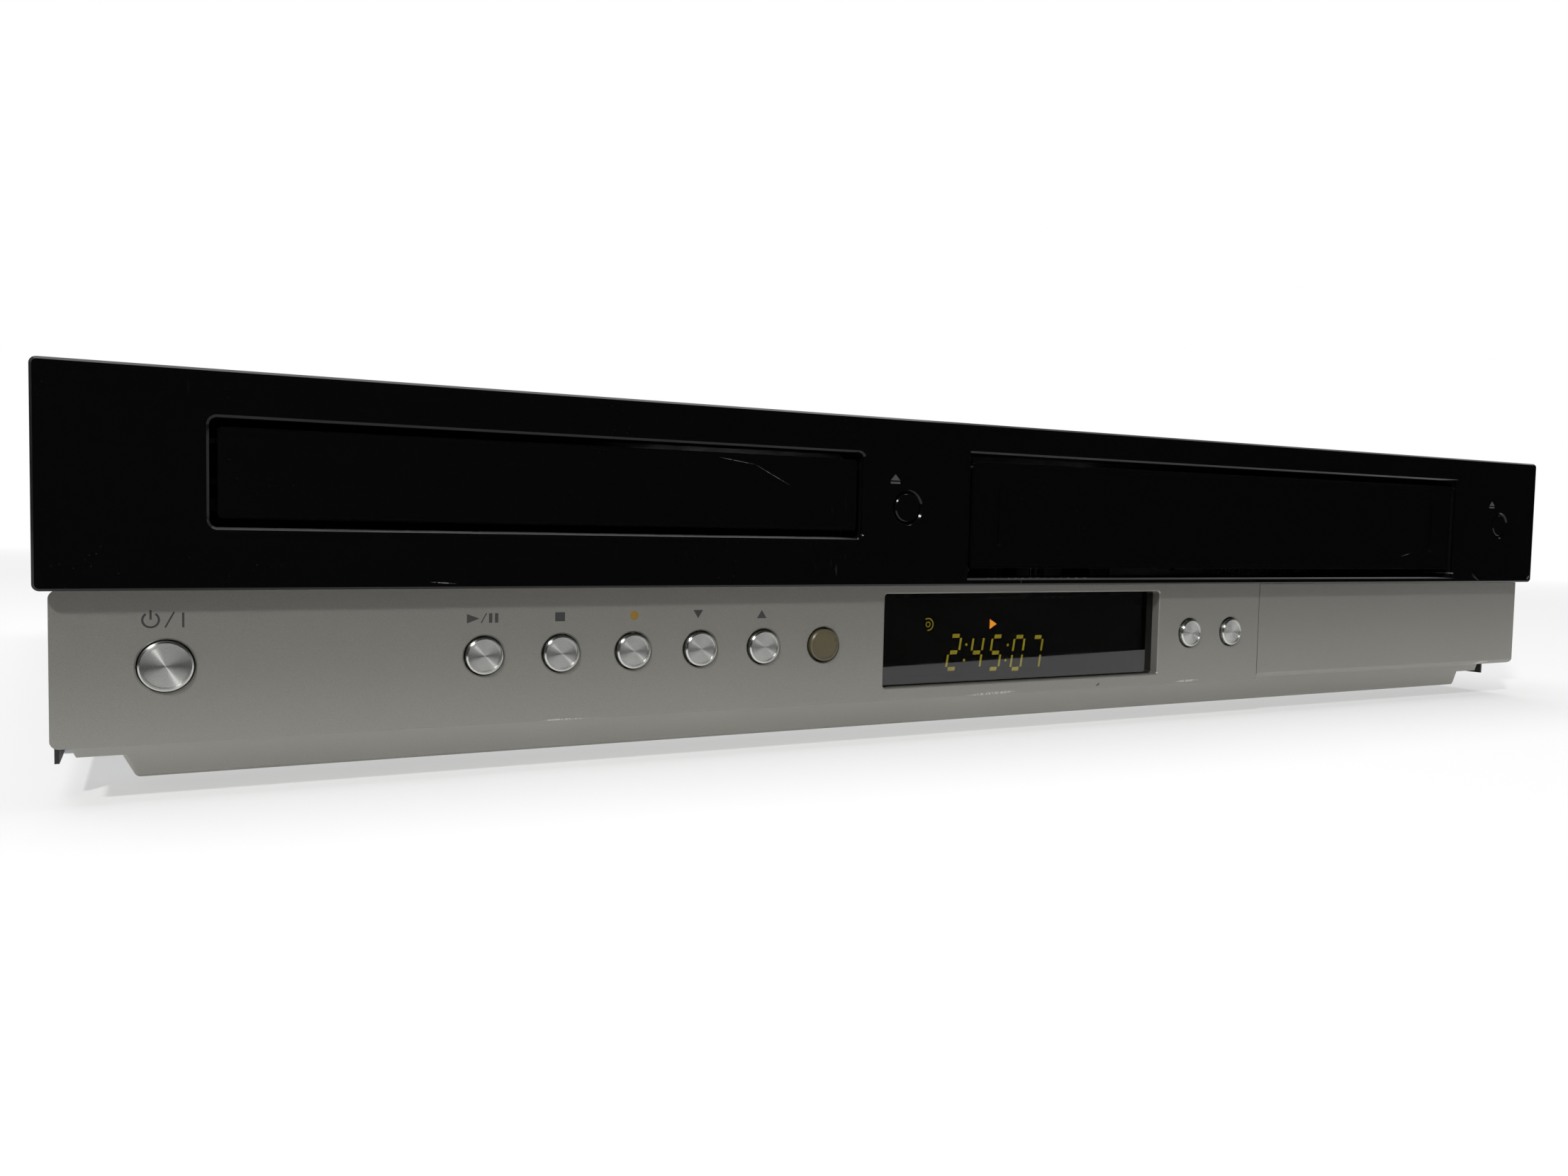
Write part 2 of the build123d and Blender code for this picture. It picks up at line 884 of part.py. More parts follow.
foot_spots = [
    (side * foot_side, y) for side in (-1, 1) for y in (back(foot_front), y_panel - foot_rear)
]
with BuildPart() as feet:
    for x, y in foot_spots:
        post(x, y, foot_pad_depth, foot_height, foot_radius)
    fillet(feet.edges().filter_by(GeomType.CIRCLE).group_by(Axis.Z)[0], foot_edge_radius)
    for x, y in foot_spots:
        post(x, y, foot_pad_depth, 2 * foot_pad_depth, foot_pad_radius, Mode.SUBTRACT)
save(feet.part, "feet")

with BuildPart() as foot_pads:
    for x, y in foot_spots:
        post(x, y, 0, 2 * foot_pad_depth, foot_pad_radius)
save(foot_pads.part, "foot_pads")

# ---------------------------------------------------------------- rear: panel, sockets, inlet
socket_reach = 7.5
socket_pitch_x = 16.0
socket_pitch_z = 15.0
socket_columns = 6
socket_rows = 2
socket_group_x = -92.0
socket_group_z = 30.0
jack_block_depth = 14.0
aerial_x = -x_band + 37.0
aerial_z = [26.0, 46.0]
aerial_radius = 4.8
aerial_bore = 1.7
aerial_can_width = 24.0
aerial_can_front = depth - 62.0
aerial_can_top = 58.0
inlet_x = x_band - 43.0
inlet_z = 28.0
inlet_width = 22.0
inlet_height = 13.0
inlet_depth = 18.0
inlet_flange = 1.5
inlet_lip = 2.0
inlet_mouth_width = 16.6
inlet_mouth_height = 8.2
inlet_mouth_depth = 11.0
inlet_pin_radius = 1.2
inlet_pin_pitch = 8.6
inlet_pin_length = 8.0
inlet_leg = 4.0
rear_vent_columns = 16
rear_vent_x = 80.0
rear_vent_z = 42.0
rear_vent_height = 30.0
rear_vent_width = 3.0
rear_vent_pitch = 6.5

socket_spots = [
    (
        socket_group_x + (column - (socket_columns - 1) / 2) * socket_pitch_x,
        socket_group_z + (row - (socket_rows - 1) / 2) * socket_pitch_z,
    )
    for row in range(socket_rows)
    for column in range(socket_columns)
]


def rear_plane(y):
    """A plane facing backwards, with local x to the right of someone behind and local y up."""
    return Plane(origin=(0, y, 0), x_dir=(-1, 0, 0), z_dir=(0, 1, 0))


with BuildPart() as rear_panel:
    slab(-x_inner, x_inner, y_panel - cover_sheet, y_panel, z_floor, z_ceiling)
    panel_corners = rear_panel.edges().filter_by(Axis.Y).group_by(Axis.Z)[-1]
    fillet(panel_corners, cover_corner)
    with BuildSketch(rear_plane(y_panel)) as panel_holes:
        with Locations(*[(-x, z) for x, z in socket_spots]):
            Circle(socket_collar + free_gap)
        with Locations(*[(-aerial_x, z) for z in aerial_z]):
            Circle(aerial_radius + free_gap)
        with Locations((-inlet_x, inlet_z)):
            Rectangle(inlet_width + free_gap, inlet_height + free_gap)
        with Locations((-rear_vent_x, rear_vent_z)):
            with GridLocations(rear_vent_pitch, 0, rear_vent_columns, 1):
                SlotOverall(rear_vent_height, rear_vent_width, rotation=90)
        with Locations(*[(-x, rear_screw_z) for x in rear_screw_x]):
            Circle(screw_radius)
    extrude(amount=-cover_sheet, mode=Mode.SUBTRACT)
save(rear_panel.part, "rear_panel")

with BuildPart() as rear_sockets:
    block_half = socket_columns * socket_pitch_x / 2
    slab(
        socket_group_x - block_half,
        socket_group_x + block_half,
        y_panel - cover_sheet - jack_block_depth,
        y_panel - cover_sheet,
        board_z + board_thick,
        socket_group_z + socket_rows * socket_pitch_z / 2,
    )
    for x, z in socket_spots:
        bar_y(x, z, y_panel - cover_sheet, y_panel + socket_collar_thick, socket_collar)
        bar_y(x, z, y_panel, y_panel + socket_reach, socket_radius)
    for x, z in socket_spots:
        bar_y(x, z, y_panel - socket_bore_depth, y_panel + socket_reach + 1, socket_bore, Mode.SUBTRACT)
save(rear_sockets.part, "rear_sockets")

with BuildPart() as aerial_sockets:
    slab(
        aerial_x - aerial_can_width / 2,
        aerial_x + aerial_can_width / 2,
        back(aerial_can_front),
        y_panel - cover_sheet,
        board_z + board_thick,
        aerial_can_top,
    )
    for z in aerial_z:
        bar_y(aerial_x, z, y_panel - cover_sheet, y_panel + rear_reach, aerial_radius)
        bar_y(
            aerial_x,
            z,
            y_panel - socket_bore_depth,
            y_panel + rear_reach + 1,
            aerial_bore,
            Mode.SUBTRACT,
        )
save(aerial_sockets.part, "aerial_sockets")

with BuildPart() as mains_inlet:
    slab(
        inlet_x - inlet_width / 2,
        inlet_x + inlet_width / 2,
        y_panel - inlet_depth,
        y_panel + inlet_flange,
        inlet_z - inlet_height / 2,
        inlet_z + inlet_height / 2,
    )
    slab(
        inlet_x - inlet_width / 2 - inlet_lip,
        inlet_x + inlet_width / 2 + inlet_lip,
        y_panel,
        y_panel + inlet_flange,
        inlet_z - inlet_height / 2 - inlet_lip,
        inlet_z + inlet_height / 2 + inlet_lip,
    )
    # legs down to the power board
    slab(
        inlet_x - inlet_width / 2,
        inlet_x + inlet_width / 2,
        y_panel - inlet_depth,
        y_panel - inlet_depth + inlet_leg,
        board_z + board_thick,
        inlet_z - inlet_height / 2,
    )
    with BuildSketch(rear_plane(y_panel + inlet_flange)) as inlet_mouth:
        with Locations((-inlet_x, inlet_z)):
            SlotOverall(inlet_mouth_width, inlet_mouth_height)
    extrude(amount=-inlet_mouth_depth, mode=Mode.SUBTRACT)
    for side in (-1, 1):
        bar_y(
            inlet_x + side * inlet_pin_pitch / 2,
            inlet_z,
            y_panel + inlet_flange - inlet_mouth_depth,
            y_panel + inlet_flange - inlet_mouth_depth + inlet_pin_length,
            inlet_pin_radius,
        )
save(mains_inlet.part, "mains_inlet")

with BuildPart() as case_screws:
    for y in side_screw_y:
        for side in (-1, 1):
            reach = side * (x_lower - screw_length)
            face = side * x_lower
            head = side * (x_lower + screw_head)
            bar_x(back(y), screw_z, min(reach, face), max(reach, face), screw_radius - running_gap)
            bar_x(back(y), screw_z, min(face, head), max(face, head), screw_head_radius)
    for x in rear_screw_x:
        bar_y(x, rear_screw_z, y_panel - screw_length, y_panel, screw_radius - running_gap)
        bar_y(x, rear_screw_z, y_panel, y_panel + screw_head, screw_head_radius)
    fillet(
        case_screws.edges().filter_by(
            lambda e: e.geom_type == GeomType.CIRCLE
            and abs(e.radius - screw_head_radius) < 0.01
            and (
                abs(abs(e.center().X) - x_lower - screw_head) < 0.01
                or abs(e.center().Y - y_panel - screw_head) < 0.01
            )
        ),
        screw_head / 2,
    )
save(case_screws.part, "case_screws")

# ---------------------------------------------------------------- circuit boards
board_top = board_z + board_thick
main_width = main_board_right - main_board_left
main_length = main_board_rear - main_board_front
power_width = power_board_right - power_board_left
power_length = power_board_rear - power_board_front
# left and front edges as shares of the board, then length, breadth and height
main_chips = [
    (0.37, 0.14, 32.0, 32.0, 3.0),
    (0.67, 0.35, 24.0, 24.0, 2.5),
    (0.07, 0.59, 40.0, 30.0, 2.5),
    (0.84, 0.59, 16.0, 64.0, 9.0),
]
main_capacitors = [(0.43, 0.54), (0.51, 0.54), (0.60, 0.54), (0.43, 0.61), (0.55, 0.87), (0.79, 0.90)]
main_capacitor_radius = 4.0
main_capacitor_height = 12.0
power_capacitors = [(x, y) for x in (0.08, 0.16) for y in (0.23, 0.42, 0.60)]
power_capacitor_radius = 5.0
power_capacitor_height = 20.0
reservoir_x = power_board_left + 0.64 * power_width
reservoir_y = power_board_front + 0.47 * power_length
reservoir_radius = 11.0
reservoir_height = 36.0
transformer_x = power_board_left + 0.22 * power_width
transformer_y = power_board_front + 0.29 * power_length
transformer_size = 34.0
transformer_height = 28.0
transformer_core = 18.0
transformer_core_height = 4.0
sink_x = power_board_left + 0.47 * power_width
sink_front = power_board_front + 0.23 * power_length
sink_length = 0.52 * power_length
sink_wall = 3.0
sink_height = 40.0
fin_reach = 6.0
fin_thick = 1.5
fin_pitch = 8.0
fin_start = 2.0
fin_count = int((sink_length - fin_start) // fin_pitch)
drive_post_clearance = 1.0

with BuildPart() as main_board:
    slab(
        main_board_left,
        main_board_right,
        back(main_board_front),
        back(main_board_rear),
        board_z,
        board_z + board_thick,
    )
    for x, y in drive_posts:
        post(x, y, board_z - 1, board_top + 1, post_radius + drive_post_clearance, Mode.SUBTRACT)
    for share_x, share_y, length, breadth, tall in main_chips:
        x = main_board_left + share_x * main_width
        y = main_board_front + share_y * main_length
        slab(x, x + length, back(y), back(y + breadth), board_top, board_top + tall)
    for share_x, share_y in main_capacitors:
        x = main_board_left + share_x * main_width
        y = main_board_front + share_y * main_length
        post(x, back(y), board_top, board_top + main_capacitor_height, main_capacitor_radius)
save(main_board.part, "main_board")

with BuildPart() as power_board:
    slab(
        power_board_left,
        power_board_right,
        back(power_board_front),
        back(power_board_rear),
        board_z,
        board_z + board_thick,
    )
    slab(
        transformer_x,
        transformer_x + transformer_size,
        back(transformer_y),
        back(transformer_y + transformer_size),
        board_top,
        board_top + transformer_height,
    )
    core_x = transformer_x + (transformer_size - transformer_core) / 2
    slab(
        core_x,
        core_x + transformer_core,
        back(transformer_y + transformer_core_height),
        back(transformer_y + transformer_size - transformer_core_height),
        board_top + transformer_height,
        board_top + transformer_height + transformer_core_height,
    )
    post(reservoir_x, back(reservoir_y), board_top, board_top + reservoir_height, reservoir_radius)
    for share_x, share_y in power_capacitors:
        x = power_board_left + share_x * power_width
        y = power_board_front + share_y * power_length
        post(x, back(y), board_top, board_top + power_capacitor_height, power_capacitor_radius)
    # finned heat sink
    slab(
        sink_x,
        sink_x + sink_wall,
        back(sink_front),
        back(sink_front + sink_length),
        board_top,
        board_top + sink_height,
    )
    for number in range(fin_count):
        fin_y = sink_front + fin_start + number * fin_pitch
        slab(
            sink_x + sink_wall,
            sink_x + sink_wall + fin_reach,
            back(fin_y),
            back(fin_y + fin_thick),
            board_top,
            board_top + sink_height,
        )
save(power_board.part, "power_board")

# ---------------------------------------------------------------- gears
gear_module = 1.0
gear_teeth = 18
tooth_addendum = 0.8
tooth_dedendum = 1.2
tooth_half = 0.6  # half a tooth's width on the pitch line
tooth_slope = math.tan(math.radians(20.0))
gear_pitch_radius = gear_module * gear_teeth / 2
gear_bore = 1.55


tooth_root = tooth_dedendum + 0.2

# one tooth, its pitch line on local y = 0, from the root to its narrower tip
with BuildSketch() as one_tooth:
    with BuildLine():
        Polyline(
            (-tooth_half - tooth_root * tooth_slope, -tooth_root),
            (tooth_half + tooth_root * tooth_slope, -tooth_root),
            (tooth_half - tooth_addendum * tooth_slope, tooth_addendum),
            (-tooth_half + tooth_addendum * tooth_slope, tooth_addendum),
            close=True,
        )
    make_face()


def gear_outline(phase):
    """A spur gear's outline round the local origin, with a tooth at the phase angle."""
    with BuildSketch(Plane.XY) as outline:
        Circle(gear_pitch_radius - tooth_dedendum)
        for number in range(gear_teeth):
            angle = phase + number * 360.0 / gear_teeth
            add(one_tooth.sketch.moved(Location((0, gear_pitch_radius, 0))).rotate(Axis.Z, angle - 90))
        Circle(gear_bore, mode=Mode.SUBTRACT)
    return outline.sketch


# ---------------------------------------------------------------- disc drive
tray_half = 64.0
tray_front = 4.0
tray_low = 55.8
tray_thick = 6.2
tray_travel = 135.0
tray_gear_y = 27.0
rack_spare = 6.0  # rack left behind the gear with the tray out
tray_rear = tray_gear_y + tray_travel + rack_spare
disc_radius = 60.0
disc_y = 74.0
well_margin = 1.0
well_radius = disc_radius + well_margin
well_depth = 3.0
small_well_radius = 41.0
small_well_depth = 1.2
slot_half = 20.0
rail_width = 2.0
rail_thick = 2.0
rack_x = disc_x - 55.0
rack_width = 3.0
rack_drop = 4.0
rack_front = 12.0
lift_y = 176.0
lift_z = 45.0
lift_half = 36.0
lift_pin_radius = 2.0
lift_pin_length = 6.0
lift_side_gap = 1.0
lift_block = 9.0
lift_block_cap = 1.5
drive_wall = 2.0
drive_rim = 66.0
drive_lip = 50.0
ledge_reach = 5.0
ledge_thick = 2.5
keeper_thick = 1.5
keeper_length = 20.0
tray_gear_x = rack_x + gear_pitch_radius
gear_pin_radius = 1.5
bridge_sheet = 1.0
clamp_hole = 13.0
clamp_flange_radius = 16.0
clamp_flange = 1.2
clamp_radius = 11.8
clamp_low = 63.0
clamp_recess = 1.2
clamp_recess_radius = 8.0
bridge_window_y = [140.0, 160.0]
bridge_window_half = 40.0
bridge_window_length = 6.0
tray_corner = 4.0
tray_rail_end = 4.0
tray_door_corner = 0.8
gear_pin_collar = 3.0
gear_pin_low = 0.6

tray_top = tray_low + tray_thick

with BuildPart() as disc_tray:
    slab(
        disc_x - tray_half,
        disc_x + tray_half,
        back(tray_front),
        back(tray_rear),
        tray_low,
        tray_top,
    )
    fillet(disc_tray.edges().filter_by(Axis.Z).group_by(Axis.Y)[-1], tray_corner)
    post(disc_x, back(disc_y), tray_top - well_depth, tray_top + 1, well_radius, Mode.SUBTRACT)
    post(
        disc_x,
        back(disc_y),
        tray_top - well_depth - small_well_depth,
        tray_top,
        small_well_radius,
        Mode.SUBTRACT,
    )
    slab(
        disc_x - slot_half,
        disc_x + slot_half,
        back(disc_y),
        back(tray_rear + 1),
        tray_low - 1,
        tray_top + 1,
        Mode.SUBTRACT,
    )
    post(disc_x, back(disc_y), tray_low - 1, tray_top + 1, slot_half, Mode.SUBTRACT)
    for side in (-1, 1):
        inner = disc_x + side * tray_half
        outer = disc_x + side * (tray_half + rail_width)
        slab(
            min(inner, outer),
            max(inner, outer),
            back(rack_front),
            back(tray_rear - tray_rail_end),
            tray_low,
            tray_low + rail_thick,
        )
    # rack under the left side
    slab(
        rack_x - rack_width - tooth_dedendum,
        rack_x - tooth_dedendum,
        back(rack_front),
        back(tray_rear),
        tray_low - rack_drop,
        tray_low,
    )
    tooth_pitch = math.pi * gear_module
    rack_teeth = int((tray_rear - tray_gear_y) // tooth_pitch)
    with BuildSketch(Plane.XY.offset(tray_low - rack_drop)) as rack_outline:
        for number in range(-3, rack_teeth):
            place = Location((rack_x, back(tray_gear_y) + number * tooth_pitch, 0), (0, 0, -90))
            add(one_tooth.sketch.moved(place))
    extrude(amount=rack_drop)
save(disc_tray.part, "disc_tray")

with BuildPart() as tray_front_panel:
    with BuildSketch(front_plane(disc_door_recess)) as tray_front_outline:
        with Locations((disc_x, disc_z)):
            RectangleRounded(disc_door_width, disc_door_height, tray_door_corner)
    extrude(amount=-disc_door_thick)
    chamfer(tray_front_panel.faces().sort_by(Axis.Y)[0].edges(), hole_bevel)
save(tray_front_panel.part, "tray_front_panel")

drive_left = disc_x - drive_half
drive_right = disc_x + drive_half
ledge_top = tray_low - free_gap
keeper_low = tray_low + rail_thick + free_gap

with BuildPart() as drive_frame:
    slab(drive_left, drive_right, back(drive_front), back(drive_rear), drive_floor, drive_rim)
    slab(
        drive_left + drive_wall,
        drive_right - drive_wall,
        back(drive_front + drive_wall),
        back(drive_rear - drive_wall),
        drive_floor + drive_wall,
        drive_rim + 1,
        Mode.SUBTRACT,
    )
    slab(
        drive_left + drive_wall,
        drive_right - drive_wall,
        back(drive_front - 1),
        back(drive_front + drive_wall + 1),
        drive_lip,
        drive_rim + 1,
        Mode.SUBTRACT,
    )
    for side in (-1, 1):
        wall = disc_x + side * (drive_half - drive_wall)
        tip = disc_x + side * (drive_half - drive_wall - ledge_reach)
        slab(
            min(wall, tip),
            max(wall, tip),
            back(drive_front),
            back(drive_rear - drive_wall),
            ledge_top - ledge_thick,
            ledge_top,
        )
        keeper_tip = disc_x + side * (tray_half + free_gap)
        slab(
            min(wall, keeper_tip),
            max(wall, keeper_tip),
            back(drive_front),
            back(drive_front + keeper_length),
            keeper_low,
            keeper_low + keeper_thick,
        )
    # bearing blocks for the lift frame's pins
    for side in (-1, 1):
        a = disc_x + side * (lift_half + lift_side_gap)
        b = disc_x + side * (lift_half + lift_pin_length + lift_side_gap)
        slab(
            min(a, b),
            max(a, b),
            back(lift_y - lift_block / 2),
            back(lift_y + lift_block / 2),
            drive_floor + drive_wall,
            lift_z + lift_pin_radius + lift_block_cap,
        )
        bar_x(
            back(lift_y),
            lift_z,
            min(a, b) - 1,
            max(a, b) + 1,
            lift_pin_radius + running_gap,
            Mode.SUBTRACT,
        )
    collar_top = tray_low - rack_drop - free_gap
    post(tray_gear_x, back(tray_gear_y), drive_floor, tray_low - gear_pin_low, gear_pin_radius)
    post(tray_gear_x, back(tray_gear_y), drive_floor, collar_top, gear_pin_collar)
save(drive_frame.part, "drive_frame")

tray_gear_place = Location((tray_gear_x, back(tray_gear_y), tray_low - rack_drop))
with BuildPart() as tray_gear:
    extrude(
        gear_outline(180.0 + 180.0 / gear_teeth).moved(tray_gear_place),
        amount=rack_drop - free_gap,
    )
save(tray_gear.part, "tray_gear")

tray_motor_x = disc_x - 57.0
tray_motor_y = 50.0
tray_motor_radius = 9.0
tray_motor_low = drive_floor + drive_wall
tray_motor_top = tray_motor_low + 12.0
tray_pulley_radius = 3.0
tray_pulley_height = 3.0
with BuildPart() as tray_motor:
    post(tray_motor_x, back(tray_motor_y), tray_motor_low, tray_motor_top, tray_motor_radius)
    post(
        tray_motor_x,
        back(tray_motor_y),
        tray_motor_top,
        tray_motor_top + tray_pulley_height,
        tray_pulley_radius,
    )
save(tray_motor.part, "tray_motor")

with BuildPart() as clamp_bridge:
    slab(
        drive_left,
        drive_right,
        back(drive_front),
        back(drive_rear),
        drive_rim,
        drive_rim + bridge_sheet,
    )
    post(disc_x, back(disc_y), drive_rim - 1, drive_rim + bridge_sheet + 1, clamp_hole, Mode.SUBTRACT)
    for y in bridge_window_y:
        slab(
            disc_x - bridge_window_half,
            disc_x + bridge_window_half,
            back(y),
            back(y + bridge_window_length),
            drive_rim - 1,
            drive_rim + bridge_sheet + 1,
            Mode.SUBTRACT,
        )
save(clamp_bridge.part, "clamp_bridge")

with BuildPart() as disc_clamp:
    post(disc_x, back(disc_y), clamp_low, drive_rim + bridge_sheet + free_gap, clamp_radius)
    post(
        disc_x,
        back(disc_y),
        drive_rim + bridge_sheet + free_gap,
        drive_rim + bridge_sheet + free_gap + clamp_flange,
        clamp_flange_radius,
    )
    post(
        disc_x,
        back(disc_y),
        clamp_low - 1,
        clamp_low + clamp_recess,
        clamp_recess_radius,
        Mode.SUBTRACT,
    )
save(disc_clamp.part, "disc_clamp")

# the sub-frame that carries spindle and pickup, drawn raised and level, then lowered
lift_angle = 4.0
lift_sheet = 2.0
lift_front = 52.0
spindle_radius = 12.0
seat_z = 60.1
seat_radius = 14.0
seat_thick = 1.2
hub_radius = 7.2
hub_height = 2.2
spindle_shaft = 1.2
spindle_gap = 0.5
rod_side = 26.0
rod_z = 49.0
rod_radius = 1.5
screw_side = -32.5
sled_z = 49.0
lead_screw_radius = 1.4
pickup_front = 89.0
pickup_length = 32.0
pickup_half = 17.0
pickup_deep = 3.0
pickup_rise = 4.0
sled_reach = 4.0
sled_front = 3.0
sled_half = 2.6
nut_front = 8.0
nut_rear = 20.0
nut_half = 1.5
nut_clearance = 0.5
lens_y = 98.0
lens_stage_radius = 7.0
lens_stage = 2.5
lens_radius = 3.5
lens_rise = 1.0
lens_edge = 0.9
bracket_half = 3.0
bracket_thick = 4.0
bracket_inset = 2.0
bracket_rear = 8.0
lift_tail = 3.0
sled_clearance = 3.0
spindle_clearance = 2.0
spindle_boss_radius = 2.9
spindle_boss_hole = 3.0
spindle_cup_radius = 6.0
spindle_cup = 4.0
spindle_top = 2.0
shaft_tip = 0.1
hub_bevel = 1.0
knob_radius = 4.0
knob_front = 3.0
lift_axis = Axis((0, back(lift_y), lift_z), (1, 0, 0))
lift_low = lift_z - lift_sheet / 2
rod_rear = lift_y - bracket_rear + bracket_thick


def lowered(piece):
    """The piece as it stands with the sub-frame down, free of the disc."""
    return piece.rotate(lift_axis, lift_angle)


with BuildPart() as lift_frame:
    slab(
        disc_x - lift_half,
        disc_x + lift_half,
        back(lift_front),
        back(lift_y + lift_tail),
        lift_low,
        lift_low + lift_sheet,
    )
    slab(
        disc_x - pickup_half - sled_clearance,
        disc_x + pickup_half + sled_clearance,
        back(disc_y + spindle_radius + spindle_clearance),
        back(lift_y - bracket_rear),
        lift_low - 1,
        lift_low + lift_sheet + 1,
        Mode.SUBTRACT,
    )
    post(disc_x, back(disc_y), lift_low - 1, lift_low + lift_sheet + 1, spindle_boss_hole, Mode.SUBTRACT)
    for side in (-1, 1):
        inner = disc_x + side * (lift_half - 2)
        outer = disc_x + side * (lift_half + lift_pin_length)
        bar_x(back(lift_y), lift_z, min(inner, outer), max(inner, outer), lift_pin_radius)
    # rod and screw brackets at both ends
    for y0 in (lift_front + bracket_inset, lift_y - bracket_rear):
        y1 = y0 + bracket_thick
        for x, z, bore in (
            (disc_x - rod_side, rod_z, rod_radius),
            (disc_x + rod_side, rod_z, rod_radius),
            (disc_x + screw_side, sled_z, lead_screw_radius + running_gap),
        ):
            slab(
                x - bracket_half,
                x + bracket_half,
                back(y0),
                back(y1),
                lift_low + lift_sheet,
                z + bracket_half,
            )
            bar_y(x, z, back(y0 - 1), back(y1 + 1), bore, Mode.SUBTRACT)
save(lowered(lift_frame.part), "lift_frame")

with BuildPart() as guide_rods:
    for x in (disc_x - rod_side, disc_x + rod_side):
        bar_y(x, rod_z, back(lift_front + bracket_inset), back(rod_rear), rod_radius)
save(lowered(guide_rods.part), "guide_rods")

with BuildPart() as spindle_motor:
    cup_low = seat_z - seat_thick - spindle_cup
    post(disc_x, back(disc_y), lift_low + lift_sheet, cup_low, spindle_radius)
    post(disc_x, back(disc_y), lift_low - lift_sheet, lift_low + lift_sheet, spindle_boss_radius)
    post(disc_x, back(disc_y), cup_low - 1, seat_z - seat_thick - spindle_top, spindle_shaft)
save(lowered(spindle_motor.part), "spindle_motor")

with BuildPart() as turntable:
    post(disc_x, back(disc_y), seat_z - seat_thick, seat_z, seat_radius)
    post(disc_x, back(disc_y), seat_z, seat_z + hub_height, hub_radius)
    chamfer(turntable.faces().sort_by(Axis.Z)[-1].edges(), hub_bevel)
    post(disc_x, back(disc_y), cup_low + spindle_gap, seat_z - seat_thick, spindle_cup_radius)
    post(
        disc_x,
        back(disc_y),
        cup_low,
        seat_z - seat_thick - spindle_top + shaft_tip,
        spindle_shaft + running_gap,
        Mode.SUBTRACT,
    )
save(lowered(turntable.part), "turntable")

with BuildPart() as optical_pickup:
    slab(
        disc_x - pickup_half,
        disc_x + pickup_half,
        back(pickup_front),
        back(pickup_front + pickup_length),
        lift_low - pickup_deep,
        rod_z + pickup_rise,
    )
    slab(
        disc_x - rod_side - sled_reach,
        disc_x + rod_side + sled_reach,
        back(pickup_front + sled_front),
        back(pickup_front + pickup_length - sled_reach),
        rod_z - sled_half,
        rod_z + sled_half,
    )
    # the arm that follows the lead screw
    slab(
        disc_x + screw_side + lead_screw_radius + nut_clearance,
        disc_x - rod_side,
        back(pickup_front + nut_front),
        back(pickup_front + nut_rear),
        sled_z - nut_half,
        sled_z + nut_half,
    )
    stage_low = rod_z + pickup_rise
    stage_top = stage_low + lens_stage
    post(disc_x, back(lens_y), stage_low, stage_top, lens_stage_radius)
    post(disc_x, back(lens_y), stage_top, stage_top + lens_rise, lens_radius)
    fillet(optical_pickup.faces().sort_by(Axis.Z)[-1].edges(), lens_edge)
    for x in (disc_x - rod_side, disc_x + rod_side):
        bar_y(
            x,
            rod_z,
            back(pickup_front),
            back(pickup_front + pickup_length),
            rod_radius + running_gap,
            Mode.SUBTRACT,
        )
save(lowered(optical_pickup.part), "optical_pickup")

with BuildPart() as lead_screw:
    screw_x = disc_x + screw_side
    bar_y(screw_x, sled_z, back(lift_front - knob_front), back(rod_rear), lead_screw_radius)
    bar_y(screw_x, sled_z, back(lift_front - knob_front), back(lift_front - free_gap), knob_radius)
save(lowered(lead_screw.part), "lead_screw")

# ---------------------------------------------------------------- sockets behind the door
with BuildPart() as front_sockets:
    slab(
        front_socket_x[0] - front_block_left,
        data_socket_x + front_block_right,
        back(bay_board),
        back(bay_board + front_block_depth),
        front_socket_z - front_block_half,
        front_socket_z + front_block_half,
    )
    for x in front_socket_x:
        bar_y(x, front_socket_z, back(bay_back - socket_collar_thick), back(bay_board), socket_collar)
        bar_y(x, front_socket_z, back(bay_back - front_socket_reach), back(bay_back), socket_radius)
        bar_y(
            x,
            front_socket_z,
            back(bay_back - front_socket_reach - 1),
            back(bay_board + socket_bore_depth),
            socket_bore,
            Mode.SUBTRACT,
        )
    slab(
        data_socket_x - data_socket_width / 2,
        data_socket_x + data_socket_width / 2,
        back(bay_back - data_socket_reach),
        back(bay_board),
        front_socket_z - data_socket_height / 2,
        front_socket_z + data_socket_height / 2,
    )
    slab(
        data_socket_x - data_socket_width / 2 + data_socket_wall,
        data_socket_x + data_socket_width / 2 - data_socket_wall,
        back(bay_back - data_socket_reach),
        back(bay_back - data_socket_reach + data_socket_mouth),
        front_socket_z - data_socket_height / 2 + data_socket_wall,
        front_socket_z + data_socket_height / 2 - data_socket_wall,
        Mode.SUBTRACT,
    )
save(front_sockets.part, "front_sockets")

# ---------------------------------------------------------------- cassette mechanism
cassette_thick = 25.0
holder_front = 34.0
holder_depth = 48.0
holder_low = 40.6
holder_ledge = 24.0
holder_stop = 12.0
holder_stop_height = 16.0
holder_pin_radius = 2.0
holder_pin_y = 60.0
holder_pin_z = 65.5
holder_travel = 62.0
holder_drop = 20.5
slider_front = 25.0
slider_rear = 96.0
slider_low = 40.0
slider_bar_top = 46.0
slider_gear_y = 91.0
slider_top = 72.4
slider_tower_front = 48.0
slider_tower_rear = 72.0
slider_tie = 10.0
slider_rack_start = -20
slider_rack_end = 2
pin_shy = 0.1
roof_hole_pitch = 56.0
roof_hole_width = 40.0
roof_hole_length = 26.0
roof_hole_corner = 4.0
side_top = 66.0
side_rear = 158.0
track_width = 5.0
track_below_top = 6.0
gear_axle_root = 0.5

holder_ledge_top = holder_low + holder_sheet
holder_roof = holder_ledge_top + cassette_thick + 2 * holder_gap


